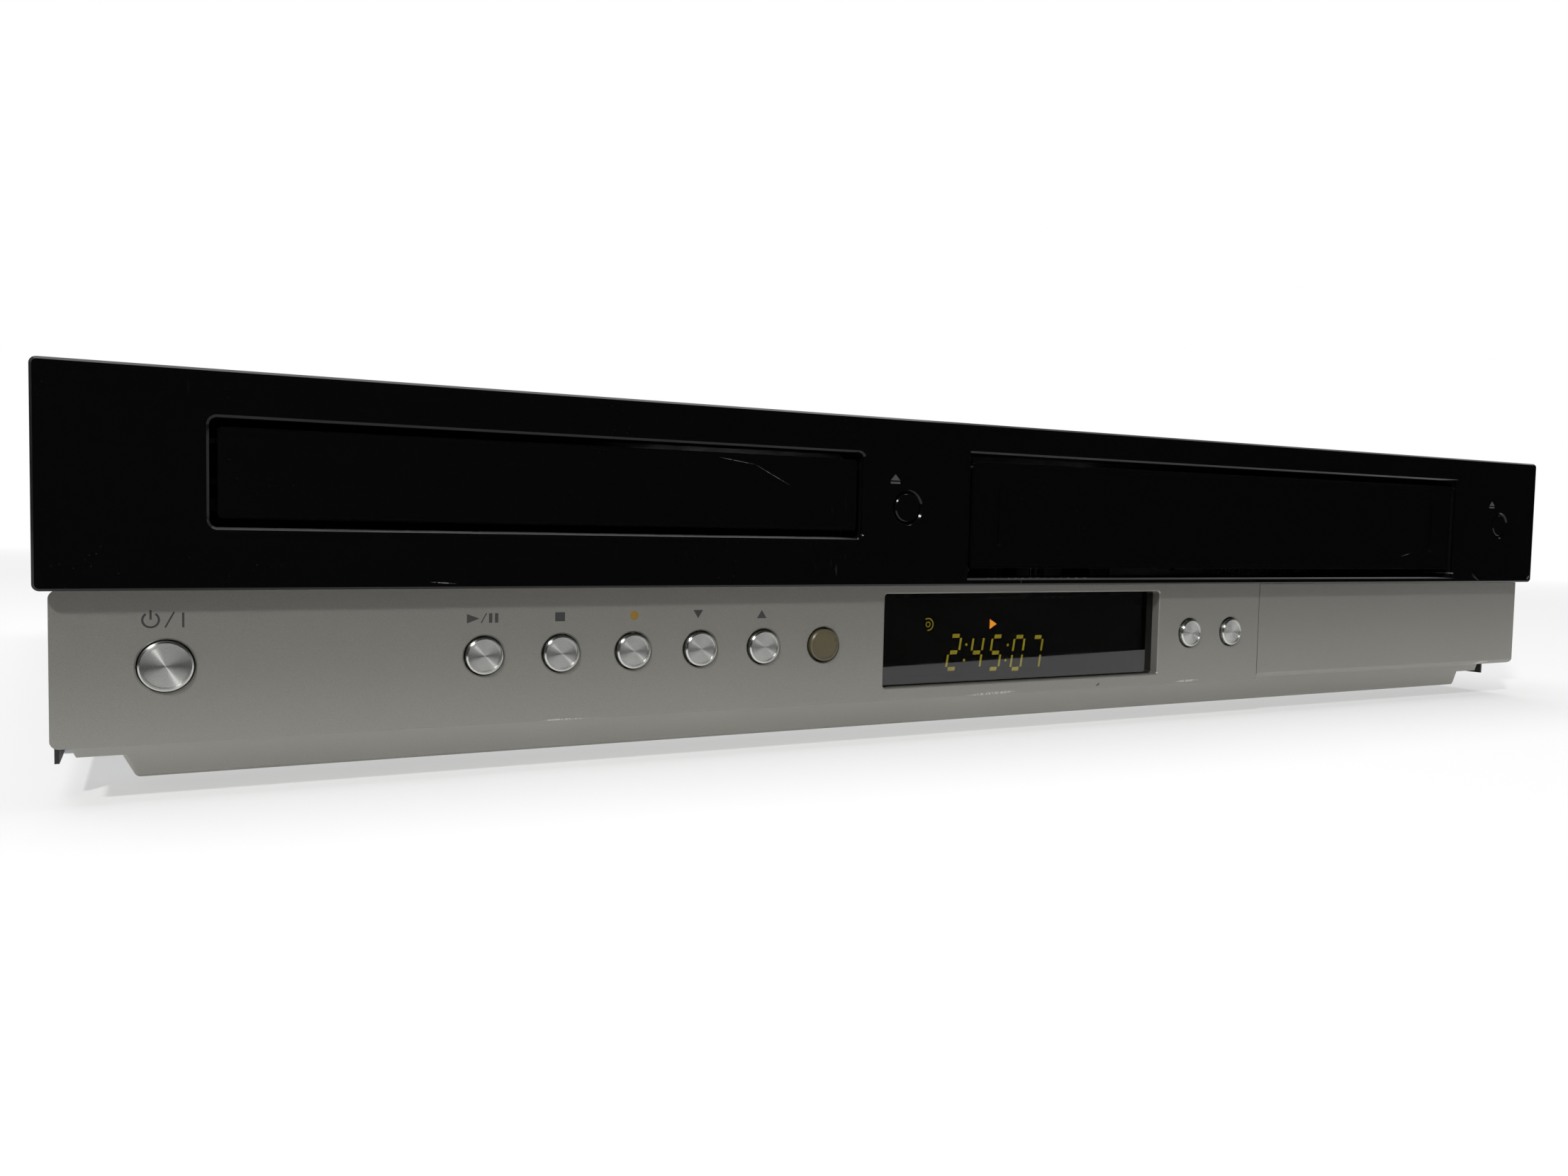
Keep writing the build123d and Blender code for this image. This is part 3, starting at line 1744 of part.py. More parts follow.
def pair(inner, outer, y0, y1, z0, z1, mode=Mode.ADD):
    """The same block on both sides of the cassette's middle."""
    for side in (-1, 1):
        a = tape_x + side * inner
        b = tape_x + side * outer
        slab(min(a, b), max(a, b), back(y0), back(y1), z0, z1, mode)


holder_rear = holder_front + holder_depth
with BuildPart() as cassette_holder:
    pair(
        holder_inner,
        holder_outer,
        holder_front,
        holder_rear,
        holder_low,
        holder_roof + holder_sheet,
    )
    slab(
        tape_x - holder_outer,
        tape_x + holder_outer,
        back(holder_front),
        back(holder_rear),
        holder_roof,
        holder_roof + holder_sheet,
    )
    pair(
        holder_inner - holder_ledge,
        holder_inner,
        holder_front,
        holder_rear,
        holder_low,
        holder_ledge_top,
    )
    pair(
        holder_inner - holder_stop,
        holder_inner,
        holder_rear - holder_sheet,
        holder_rear,
        holder_low,
        holder_ledge_top + holder_stop_height,
    )
    # lightening holes in the roof
    with BuildSketch(Plane.XY.offset(holder_roof - 1)) as roof_holes:
        with Locations((tape_x, back((holder_front + holder_rear) / 2))):
            with GridLocations(roof_hole_pitch, 0, 3, 1):
                RectangleRounded(roof_hole_width, roof_hole_length, roof_hole_corner)
    extrude(amount=holder_sheet + 2, mode=Mode.SUBTRACT)
    for side in (-1, 1):
        a = tape_x + side * holder_inner
        b = tape_x + side * (slider_outer - pin_shy)
        bar_x(back(holder_pin_y), holder_pin_z, min(a, b), max(a, b), holder_pin_radius)
save(cassette_holder.part, "cassette_holder")

with BuildPart() as loading_slider:
    pair(slider_inner, slider_outer, slider_front, slider_rear, slider_low, slider_bar_top)
    pair(
        slider_inner,
        slider_outer,
        slider_tower_front,
        slider_tower_rear,
        slider_low,
        slider_top,
    )
    slab(
        tape_x - slider_outer,
        tape_x + slider_outer,
        back(holder_pin_y - slider_tie / 2),
        back(holder_pin_y + slider_tie / 2),
        slider_top - slider_sheet,
        slider_top,
    )
    # upright slots that the holder's pins drop through
    for side in (-1, 1):
        a = tape_x + side * (slider_inner - 1)
        b = tape_x + side * (slider_outer + 1)
        slab(
            min(a, b),
            max(a, b),
            back(holder_pin_y - holder_pin_radius - free_gap),
            back(holder_pin_y + holder_pin_radius + free_gap),
            holder_pin_z - holder_drop - holder_pin_radius - free_gap,
            holder_pin_z + holder_pin_radius + free_gap,
            Mode.SUBTRACT,
        )
    # rack on the right plate's lower edge
    with BuildSketch(Plane.YZ.offset(tape_x + slider_inner)) as slider_rack:
        for number in range(slider_rack_start, slider_rack_end):
            y = back(slider_gear_y) + number * tooth_pitch
            add(one_tooth.sketch.moved(Location((y, slider_low - tooth_dedendum, 0), (0, 0, 180))))
    extrude(amount=slider_sheet)
save(loading_slider.part, "loading_slider")

deck_top = deck_plate + deck_sheet
loading_gear_z = slider_low - tooth_dedendum - gear_pitch_radius

reel_spacing = 46.6
reel_y = 85.0
reel_flange_radius = 18.0
reel_flange = 1.8
reel_hub_radius = 9.0
reel_hub_height = 12.5
reel_spline = 1.6
reel_pin_radius = 1.5
reel_pin_height = 15.0
reel_hub_bevel = 1.2
reel_spline_width = 1.6
reel_spline_short = 3.0

drum_y = 190.0
drum_radius = 31.0
drum_tilt = 6.0
drum_base_radius = 26.0
drum_base = 4.0
drum_lower_start = 3.0
drum_lower_height = 14.0
drum_gap = 0.4
drum_upper_height = 13.0
drum_shaft_radius = 3.0
drum_neck_inset = 3.0
drum_shaft_short = 1.0
drum_rim_bevel = 0.8
drum_hole_circle = 18.0
drum_hole_radius = 4.0
drum_hole_depth = 4.0
head_window_width = 3.0
head_window_length = 4.0
head_window_height = 2.0

capstan_x = tape_x + 50.0
capstan_y = 152.0
capstan_radius = 2.0
capstan_top = 46.0
flywheel_bevel = 0.5
flywheel_radius = 20.0
flywheel_low = 8.5
flywheel_thick = 4.0
bearing_radius = 5.0
bearing_height = 6.0

pinch_pivot_x = tape_x + 74.0
pinch_pivot_y = 172.0
pinch_reach_x = -16.0
pinch_reach_y = -20.0
pinch_open = 25.0
pinch_arm_low = deck_top + bearing_height + free_gap  # it swings over the capstan's bearing
pinch_arm_thick = 2.0
pinch_roller_radius = 6.0
pinch_roller_height = 18.0
pinch_pin_radius = 1.5
pinch_hub_radius = 4.0
pinch_pin_proud = 1.0
pinch_roller_bevel = 0.4

guide_start_x = 33.0
guide_start_y = 130.0
guide_end_x = 40.0
guide_end_y = 196.0
guide_stem = 2.3
guide_slot = 5.0
guide_head_radius = 4.0
guide_base_width = 10.0
guide_base_height = 3.6
guide_roller_radius = 3.0
guide_top = 42.0
guide_head = 1.8
guide_neck = 1.6
guide_roller_gap = 3.0
guide_cap = 2.0

head_width = 8.0
head_depth = 6.0
head_low = 24.0
head_height = 15.0
head_post_radius = 2.0
head_plate = 1.2
head_rim = 1.0
# beside the take-up guide's path, clear of its base all the way along
guide_side = guide_end_x + guide_base_width / 2
audio_head_x = tape_x + guide_side + head_width / 2 + head_rim + free_gap
audio_head_y = 168.0
erase_head_x = tape_x - 58.0
erase_head_y = 152.0

loading_motor_x = tape_x - 72.0
loading_motor_y = 180.0
loading_motor_length = 30.0
loading_motor_radius = 10.0
loading_motor_rise = 1.0
loading_worm_length = 12.0
loading_worm_radius = 3.0
loading_cradle_inset = 4.0

drum_plane = Plane(
    origin=(tape_x, back(drum_y), deck_top + drum_base),
    x_dir=(math.cos(math.radians(drum_tilt)), 0, -math.sin(math.radians(drum_tilt))),
    z_dir=(math.sin(math.radians(drum_tilt)), 0, math.cos(math.radians(drum_tilt))),
)
guide_length = math.hypot(guide_end_x - guide_start_x, guide_end_y - guide_start_y)
guide_angle = math.degrees(math.atan2(guide_end_y - guide_start_y, guide_end_x - guide_start_x))

with BuildPart() as deck_chassis:
    slab(deck_left, deck_right, back(deck_front), back(deck_rear), deck_plate, deck_top)
    pair(side_inner, side_outer, deck_front, side_rear, deck_top, side_top)
    for side in (-1, 1):
        post(tape_x + side * reel_spacing, back(reel_y), deck_top, deck_top + reel_pin_height, reel_pin_radius)
    post(capstan_x, back(capstan_y), deck_top, deck_top + bearing_height, bearing_radius)
    post(
        capstan_x,
        back(capstan_y),
        deck_plate - 1,
        deck_top + bearing_height + 1,
        capstan_radius + running_gap,
        Mode.SUBTRACT,
    )
    post(
        pinch_pivot_x,
        back(pinch_pivot_y),
        deck_top,
        pinch_arm_low + pinch_arm_thick + pinch_pin_proud,
        pinch_pin_radius,
    )
    # slots that the tape guides run along
    with BuildSketch(Plane.XY.offset(deck_plate - 1)) as guide_slots:
        for side in (-1, 1):
            middle_x = tape_x + side * (guide_start_x + guide_end_x) / 2
            with Locations((middle_x, back((guide_start_y + guide_end_y) / 2))):
                SlotCenterToCenter(
                    guide_length,
                    guide_slot,
                    rotation=guide_angle if side > 0 else 180 - guide_angle,
                )
    extrude(amount=deck_sheet + 2, mode=Mode.SUBTRACT)
    # the L-shaped track in each side plate
    for side in (-1, 1):
        with BuildSketch(Plane.YZ.offset(tape_x + side * side_inner - 2 * side)) as track:
            track_z = side_top - track_below_top
            with Locations((back(holder_pin_y + holder_travel / 2), track_z)):
                SlotOverall(holder_travel + track_width, track_width)
            with Locations((back(holder_pin_y + holder_travel), track_z - holder_drop / 2)):
                SlotOverall(holder_drop + track_width, track_width, rotation=90)
        extrude(amount=side * (side_sheet + 4), mode=Mode.SUBTRACT)
    bar_x(
        back(slider_gear_y),
        loading_gear_z,
        tape_x + slider_inner,
        tape_x + side_inner + gear_axle_root,
        gear_pin_radius,
    )
save(deck_chassis.part, "deck_chassis")

with BuildPart() as loading_gear:
    gear_place = Plane(
        origin=(tape_x + slider_inner, back(slider_gear_y), loading_gear_z),
        x_dir=(0, 1, 0),
        z_dir=(1, 0, 0),
    )
    gear_blank = extrude(
        gear_outline(90.0 + 180.0 / gear_teeth),
        amount=slider_sheet,
        mode=Mode.PRIVATE,
    )
    add(gear_place.location * gear_blank)
save(loading_gear.part, "loading_gear")


def make_reel(x):
    """A reel table: flange, hub with three splines, and a bore for its pin."""
    low = deck_top + free_gap
    with BuildPart() as reel:
        post(x, back(reel_y), low, low + reel_flange, reel_flange_radius)
        post(x, back(reel_y), low, low + reel_hub_height, reel_hub_radius)
        chamfer(reel.faces().sort_by(Axis.Z)[-1].edges(), reel_hub_bevel)
        with Locations((x, back(reel_y), low + reel_hub_height / 2)):
            with PolarLocations(reel_hub_radius, 3):
                Box(2 * reel_spline, reel_spline_width, reel_hub_height - reel_spline_short)
        post(x, back(reel_y), low - 1, low + reel_hub_height + 1, gear_bore, Mode.SUBTRACT)
    return reel.part


save(make_reel(tape_x - reel_spacing), "supply_reel")
save(make_reel(tape_x + reel_spacing), "take_up_reel")

with BuildPart() as lower_drum:
    post(tape_x, back(drum_y), deck_top, deck_top + drum_base, drum_base_radius)
    with BuildSketch(drum_plane.offset(-1)) as drum_neck:
        Circle(drum_base_radius - drum_neck_inset)
    extrude(amount=drum_lower_start + 1)
    with BuildSketch(drum_plane.offset(drum_lower_start)) as drum_foot:
        Circle(drum_radius)
    extrude(amount=drum_lower_height)
    with BuildSketch(drum_plane.offset(drum_lower_start + drum_lower_height)) as drum_axle:
        Circle(drum_shaft_radius)
    extrude(amount=drum_upper_height + drum_gap - drum_shaft_short)
save(lower_drum.part, "lower_drum")

drum_upper = drum_lower_start + drum_lower_height + drum_gap
with BuildPart() as head_drum:
    with BuildSketch(drum_plane.offset(drum_upper)) as drum_ring:
        Circle(drum_radius)
        Circle(drum_shaft_radius + running_gap, mode=Mode.SUBTRACT)
    extrude(amount=drum_upper_height)
    drum_rims = head_drum.edges().filter_by(
        lambda e: e.geom_type == GeomType.CIRCLE and abs(e.radius - drum_radius) < 0.01
    )
    chamfer(drum_rims.sort_by(Axis.Z)[-1], drum_rim_bevel)
    with BuildSketch(drum_plane.offset(drum_upper + drum_upper_height)) as drum_holes:
        with PolarLocations(drum_hole_circle, 6):
            Circle(drum_hole_radius)
    extrude(amount=-drum_hole_depth, mode=Mode.SUBTRACT)
    with BuildSketch(drum_plane.offset(drum_upper)) as head_windows:
        with PolarLocations(drum_radius, 6):
            Rectangle(head_window_width, head_window_length)
    extrude(amount=head_window_height, mode=Mode.SUBTRACT)
save(head_drum.part, "head_drum")

with BuildPart() as capstan:
    post(capstan_x, back(capstan_y), flywheel_low, capstan_top, capstan_radius)
    post(capstan_x, back(capstan_y), flywheel_low, flywheel_low + flywheel_thick, flywheel_radius)
    chamfer(capstan.edges().filter_by(GeomType.CIRCLE).sort_by(SortBy.RADIUS)[-2:], flywheel_bevel)
save(capstan.part, "capstan")

pinch_turn = math.radians(pinch_open)
pinch_x = pinch_pivot_x + pinch_reach_x * math.cos(pinch_turn) - pinch_reach_y * math.sin(pinch_turn)
pinch_y = pinch_pivot_y + pinch_reach_x * math.sin(pinch_turn) + pinch_reach_y * math.cos(pinch_turn)
pinch_arm_top = pinch_arm_low + pinch_arm_thick

with BuildPart() as pinch_arm:
    arm_length = math.hypot(pinch_x - pinch_pivot_x, pinch_y - pinch_pivot_y)
    arm_angle = math.degrees(math.atan2(pinch_y - pinch_pivot_y, pinch_x - pinch_pivot_x))
    with BuildSketch(Plane.XY.offset(pinch_arm_low)) as arm_outline:
        with Locations(((pinch_x + pinch_pivot_x) / 2, back((pinch_y + pinch_pivot_y) / 2))):
            SlotCenterToCenter(arm_length, 2 * pinch_hub_radius, rotation=arm_angle)
    extrude(amount=pinch_arm_thick)
    post(pinch_pivot_x, back(pinch_pivot_y), deck_top + free_gap, pinch_arm_low, pinch_hub_radius)
    post(
        pinch_pivot_x,
        back(pinch_pivot_y),
        deck_top,
        pinch_arm_top + 1,
        pinch_pin_radius + running_gap,
        Mode.SUBTRACT,
    )
    post(
        pinch_x,
        back(pinch_y),
        pinch_arm_top,
        pinch_arm_top + 2 * free_gap + pinch_roller_height,
        pinch_pin_radius,
    )
save(pinch_arm.part, "pinch_arm")

with BuildPart() as pinch_roller:
    roller_low = pinch_arm_top + free_gap
    post(pinch_x, back(pinch_y), roller_low, roller_low + pinch_roller_height, pinch_roller_radius)
    chamfer(pinch_roller.edges().filter_by(GeomType.CIRCLE), pinch_roller_bevel)
    post(
        pinch_x,
        back(pinch_y),
        roller_low - 1,
        roller_low + pinch_roller_height + 1,
        pinch_pin_radius + running_gap,
        Mode.SUBTRACT,
    )
save(pinch_roller.part, "pinch_roller")


def make_guide(side):
    """A tape guide: base on the plate, stem through its slot, roller post on top."""
    x = tape_x + side * guide_start_x
    y = back(guide_start_y)
    base_low = deck_top + free_gap
    with BuildPart() as guide:
        slab(
            x - guide_base_width / 2,
            x + guide_base_width / 2,
            y - guide_base_width / 2,
            y + guide_base_width / 2,
            base_low,
            base_low + guide_base_height,
        )
        head_top = deck_plate - free_gap
        base_top = base_low + guide_base_height
        post(x, y, head_top - guide_head, base_low, guide_stem)
        post(x, y, head_top - guide_head, head_top, guide_head_radius)
        post(x, y, base_top, guide_top, guide_roller_radius - guide_neck)
        post(
            x,
            y,
            base_top + guide_roller_gap,
            guide_top - guide_roller_gap,
            guide_roller_radius,
        )
        post(x, y, guide_top - guide_cap, guide_top, guide_roller_radius)
    return guide.part


save(make_guide(-1), "supply_guide")
save(make_guide(1), "take_up_guide")


# the erase head and the audio head: alike, each with a rounded face, on its own post
with BuildPart() as tape_heads:
    for x, y in ((erase_head_x, erase_head_y), (audio_head_x, audio_head_y)):
        slab(
            x - head_width / 2,
            x + head_width / 2,
            back(y),
            back(y + head_depth),
            head_low,
            head_low + head_height,
        )
        post(x, back(y + head_depth / 2), deck_top, head_low, head_post_radius)
        slab(
            x - head_width / 2 - head_rim,
            x + head_width / 2 + head_rim,
            back(y - head_rim),
            back(y + head_depth + head_rim),
            deck_top,
            deck_top + head_plate,
        )
    rear_corners = tape_heads.edges().filter_by(Axis.Z).filter_by(
        lambda e: abs(e.length - head_height) < 0.01
        and any(
            abs(e.center().Y - back(y + head_depth)) < 0.01 for y in (erase_head_y, audio_head_y)
        )
    )
    fillet(rear_corners, head_depth / 3)
save(tape_heads.part, "tape_heads")

with BuildPart() as loading_motor:
    motor_z = deck_top + loading_motor_radius + loading_motor_rise
    bar_y(
        loading_motor_x,
        motor_z,
        back(loading_motor_y),
        back(loading_motor_y + loading_motor_length),
        loading_motor_radius,
    )
    bar_y(
        loading_motor_x,
        motor_z,
        back(loading_motor_y - loading_worm_length),
        back(loading_motor_y),
        loading_worm_radius,
    )
    slab(
        loading_motor_x - loading_motor_radius,
        loading_motor_x + loading_motor_radius,
        back(loading_motor_y + loading_cradle_inset),
        back(loading_motor_y + loading_motor_length - loading_cradle_inset),
        deck_top,
        motor_z - loading_cradle_inset,
    )
save(loading_motor.part, "loading_motor")
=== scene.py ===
"""Looks of a low disc and cassette player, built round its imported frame.

Everything is in metres in the frame's own axes: the front faces -Y, +Z is up.
Sizes that read best in millimetres are written that way and multiplied by MM.
"""

import json
import math

import bmesh
import bpy
from mathutils import Matrix, Vector


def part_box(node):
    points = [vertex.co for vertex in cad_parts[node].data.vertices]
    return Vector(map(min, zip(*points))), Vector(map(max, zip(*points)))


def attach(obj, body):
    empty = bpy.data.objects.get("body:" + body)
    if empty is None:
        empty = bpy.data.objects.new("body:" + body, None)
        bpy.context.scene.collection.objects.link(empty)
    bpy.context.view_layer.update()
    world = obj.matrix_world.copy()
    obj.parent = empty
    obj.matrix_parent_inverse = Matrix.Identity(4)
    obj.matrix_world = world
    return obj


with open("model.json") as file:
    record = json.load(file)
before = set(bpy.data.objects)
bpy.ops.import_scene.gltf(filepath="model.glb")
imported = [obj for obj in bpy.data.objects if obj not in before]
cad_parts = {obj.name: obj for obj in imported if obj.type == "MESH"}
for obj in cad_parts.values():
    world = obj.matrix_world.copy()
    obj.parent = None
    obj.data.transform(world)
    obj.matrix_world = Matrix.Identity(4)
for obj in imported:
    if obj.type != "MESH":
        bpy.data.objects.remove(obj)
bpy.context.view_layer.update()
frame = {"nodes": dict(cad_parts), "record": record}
nodes = frame["nodes"]

MM = 0.001
FRONT_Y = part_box("front_fascia")[0].y
SILVER_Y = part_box("lower_fascia")[0].y
BAND_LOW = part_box("front_fascia")[0].z
PROUD = 0.02 * MM  # printing stands this far off its surface

# ---------------------------------------------------------------- camera
PHOTO_WIDTH = 2212.0
PHOTO_FOCAL = 1665.245  # in pixels of the photograph
SENSOR = 36.0
CAMERA_PLACE = Vector((-194.92, -413.19, 52.59)) * MM
CAMERA_TURN = -0.484
CAMERA_TILT = -0.053
CAMERA_ROLL = -0.021


def add_camera():
    """The camera, with its three turns taken from the edges of the front."""
    data = bpy.data.cameras.new("camera")
    data.sensor_width = SENSOR
    data.lens = PHOTO_FOCAL / PHOTO_WIDTH * SENSOR
    data.clip_start = 0.01
    camera = bpy.data.objects.new("camera", data)
    bpy.context.scene.collection.objects.link(camera)
    turn = Matrix.Rotation(CAMERA_TURN, 3, "Z")
    turn = turn @ Matrix.Rotation(CAMERA_TILT, 3, "X") @ Matrix.Rotation(CAMERA_ROLL, 3, "Y")
    right, forward, up = turn.col[0], turn.col[1], turn.col[2]
    axes = Matrix((right, up, -forward)).transposed()
    camera.matrix_world = Matrix.Translation(CAMERA_PLACE) @ axes.to_4x4()
    bpy.context.scene.camera = camera


# ---------------------------------------------------------------- node helpers
class Graph:
    """A material's node tree with one Principled shader."""

    def __init__(self, name):
        self.material = bpy.data.materials.new(name)
        self.material.use_nodes = True
        self.tree = self.material.node_tree
        self.tree.nodes.clear()
        self.output = self.tree.nodes.new("ShaderNodeOutputMaterial")
        self.shader = self.tree.nodes.new("ShaderNodeBsdfPrincipled")
        self.link(self.shader.outputs[0], self.output.inputs["Surface"])

    def node(self, kind, **settings):
        made = self.tree.nodes.new(kind)
        for key, value in settings.items():
            setattr(made, key, value)
        return made

    def link(self, source, target):
        self.tree.links.new(source, target)

    def place(self, scale=(1, 1, 1)):
        """Position in the frame, stretched along its axes."""
        coordinates = self.node("ShaderNodeTexCoord")
        mapping = self.node("ShaderNodeMapping")
        mapping.inputs["Scale"].default_value = scale
        self.link(coordinates.outputs["Object"], mapping.inputs["Vector"])
        return mapping.outputs[0]

    def noise(self, scale, detail=3.0, rough=0.55, stretch=(1, 1, 1)):
        made = self.node("ShaderNodeTexNoise")
        made.inputs["Scale"].default_value = scale
        made.inputs["Detail"].default_value = detail
        made.inputs["Roughness"].default_value = rough
        self.link(self.place(stretch), made.inputs["Vector"])
        return made.outputs["Fac"]

    def cells(self, scale, stretch=(1, 1, 1)):
        made = self.node("ShaderNodeTexVoronoi")
        made.inputs["Scale"].default_value = scale
        self.link(self.place(stretch), made.inputs["Vector"])
        return made.outputs["Distance"]

    def span(self, value, low, high, to_low=0.0, to_high=1.0):
        made = self.node("ShaderNodeMapRange")
        made.inputs["From Min"].default_value = low
        made.inputs["From Max"].default_value = high
        made.inputs["To Min"].default_value = to_low
        made.inputs["To Max"].default_value = to_high
        self.link(value, made.inputs["Value"])
        return made.outputs[0]

    def times(self, first, second):
        made = self.node("ShaderNodeMath", operation="MULTIPLY")
        self.link(first, made.inputs[0])
        self.link(second, made.inputs[1])
        return made.outputs[0]

    def blend(self, factor, first, second):
        """A colour between two, each a colour or another node's output."""
        made = self.node("ShaderNodeMix", data_type="RGBA")
        self.link(factor, made.inputs["Factor"])
        for socket, value in ((made.inputs[6], first), (made.inputs[7], second)):
            if isinstance(value, tuple):
                socket.default_value = (*value, 1.0)
            else:
                self.link(value, socket)
        return made.outputs[2]

    def axis(self, name):
        """One coordinate in the frame, in metres."""
        made = self.node("ShaderNodeSeparateXYZ")
        self.link(self.place(), made.inputs[0])
        return made.outputs[name]

    def spot(self, x, z, half_length, half_width, angle=0.0):
        """A soft oval on the front, in millimetres, broken up by noise and turned by degrees."""
        coordinates = self.node("ShaderNodeTexCoord")
        mapping = self.node("ShaderNodeMapping", vector_type="TEXTURE")
        mapping.inputs["Location"].default_value = (x * MM, FRONT_Y, z * MM)
        mapping.inputs["Rotation"].default_value = (0, -math.radians(angle), 0)
        mapping.inputs["Scale"].default_value = (half_length * MM, 1.0, half_width * MM)
        self.link(coordinates.outputs["Object"], mapping.inputs["Vector"])
        away = self.node("ShaderNodeVectorMath", operation="LENGTH")
        self.link(mapping.outputs[0], away.inputs[0])
        broken = self.span(self.noise(2200.0, 2.0), 0.40, 0.55)
        return self.times(self.span(away.outputs["Value"], 0.6, 1.0, 1.0, 0.0), broken)

    def greater(self, first, second):
        made = self.node("ShaderNodeMath", operation="MAXIMUM")
        self.link(first, made.inputs[0])
        self.link(second, made.inputs[1])
        return made.outputs[0]

    def bump(self, height, distance):
        made = self.node("ShaderNodeBump")
        made.inputs["Strength"].default_value = 1.0
        made.inputs["Distance"].default_value = distance
        self.link(height, made.inputs["Height"])
        self.link(made.outputs[0], self.shader.inputs["Normal"])

    def set(self, **values):
        for key, value in values.items():
            self.shader.inputs[key.replace("_", " ")].default_value = value


def finish(name, dark, light, rough, grain, depth, patch=25.0, stretch=(1, 1, 1), **values):
    """A material that drifts between two colours, with grain in its roughness and surface.

    rough is the lowest and highest roughness, grain the scale of the fine noise in 1/m
    and depth the height of its bumps in metres.
    """
    graph = Graph(name)
    graph.set(**values)
    drift = graph.span(graph.noise(patch), 0.35, 0.65)
    graph.link(graph.blend(drift, dark, light), graph.shader.inputs["Base Color"])
    fine = graph.noise(grain, detail=2.0, stretch=stretch)
    mottle = graph.noise(patch * 6)
    graph.link(graph.span(mottle, 0.3, 0.7, *rough), graph.shader.inputs["Roughness"])
    graph.bump(fine, depth)
    return graph


def grey(value):
    return (value, value, value)


# ---------------------------------------------------------------- materials
INNER_WALL = (1.1, 1.5)  # mm behind the face: where the polish ends
INNER_ROUGH = 0.6
LENS_INDEX = 1.58  # of clear polycarbonate
# The plinth's lighter silver is painted light: a lighter copy of the front's paint that stands in
# for light bounced up from the table.
SKIRT_PAINTED_BOUNCE = 1.5  # the plinth's silver is this much lighter than the front's
SKIRT_METALLIC = 0.35

# Marks on the front: x, z, half length and half width in mm, then the turn in degrees.
BAND_SCRATCHES = (
    (184.5, 40.0, 2.4, 0.10, -20),
    (183.6, 40.9, 1.6, 0.08, -27),
    (172.6, 41.7, 0.30, 0.25, 0),
    (213.2, 40.2, 0.9, 0.6, 30),
    (-146.4, 39.9, 2.6, 0.12, -4),
    (-82.7, 66.6, 4.6, 0.07, -8),
    (-73.8, 63.8, 5.2, 0.07, -26),
    (150.0, 47.5, 3.2, 0.07, 12),
)
# Pale streaks along the silver's lower lip.
LIP_PALE_STREAKS = (
    (-9.0, 10.9, 9.0, 0.45, 2),
    (60.0, 11.3, 5.0, 0.35, 1),
    (-120.0, 10.7, 6.0, 0.35, -1),
    (196.0, 11.6, 4.0, 0.5, 4),
)
LIP_MARK = (27.0, 11.7, 0.8, 0.35, 15)


def gloss_black():
    """Near black gloss plastic: faint hazing, dust, and fine scuffs towards the lower edge."""
    graph = Graph("gloss_black")
    graph.set(IOR=1.45, Specular_IOR_Level=0.32)
    dust = graph.span(graph.cells(900.0), 0.0, 0.10, 1.0, 0.0)
    rare = graph.span(graph.noise(55.0), 0.56, 0.66)
    low = graph.span(graph.axis("Z"), BAND_LOW, BAND_LOW + 10 * MM, 1.0, 0.25)
    dust = graph.times(graph.times(dust, rare), low)
    scuff = graph.span(graph.noise(1500.0, 2.0, 0.6, (1.0, 1.0, 0.06)), 0.66, 0.72)
    patches = graph.span(graph.noise(38.0), 0.60, 0.70)
    scuff = graph.times(graph.times(scuff, patches), low)
    colour = graph.blend(dust, (0.0022, 0.0022, 0.0024), (0.10, 0.10, 0.095))
    colour = graph.blend(scuff, colour, (0.05, 0.05, 0.047))
    for mark in BAND_SCRATCHES:
        colour = graph.blend(graph.spot(*mark), colour, (0.16, 0.155, 0.145))
    graph.link(colour, graph.shader.inputs["Base Color"])
    # the openings' inner walls are as they leave the mould, not polished like the face
    start, end = (FRONT_Y + depth * MM for depth in INNER_WALL)
    inner = graph.span(graph.axis("Y"), start, end, 0.0, INNER_ROUGH)
    polish = graph.span(graph.noise(70.0), 0.3, 0.7, 0.06, 0.15)
    graph.link(graph.greater(polish, inner), graph.shader.inputs["Roughness"])
    graph.bump(graph.noise(160.0), 0.00001)
    return graph.material


def silver_paint(name, share=1.0, metallic=0.55):
    """Metallic silver paint over plastic, with its flake and a soft drift of tone."""
    graph = Graph(name)
    graph.set(Metallic=metallic, IOR=1.45)
    flake = graph.span(graph.noise(9000.0, 1.0), 0.3, 0.7)
    drift = graph.span(graph.noise(14.0), 0.3, 0.7)
    # share scales every tone; above 1 it paints in bounce light, as on the plinth's copy
    low, high, bright = (
        tuple(channel * share for channel in tone)
        for tone in ((0.262, 0.256, 0.232), (0.288, 0.282, 0.256), (0.345, 0.338, 0.31))
    )
    colour = graph.blend(flake, graph.blend(drift, low, high), bright)
    # pale streaks along the lower lip
    for mark in LIP_PALE_STREAKS:
        colour = graph.blend(graph.spot(*mark), colour, (0.60, 0.59, 0.55))
    colour = graph.blend(graph.spot(*LIP_MARK), colour, (0.06, 0.055, 0.05))
    graph.link(colour, graph.shader.inputs["Base Color"])
    graph.link(graph.span(flake, 0.0, 1.0, 0.30, 0.42), graph.shader.inputs["Roughness"])
    graph.bump(graph.noise(7000.0, 2.0), 0.000006)
    return graph.material


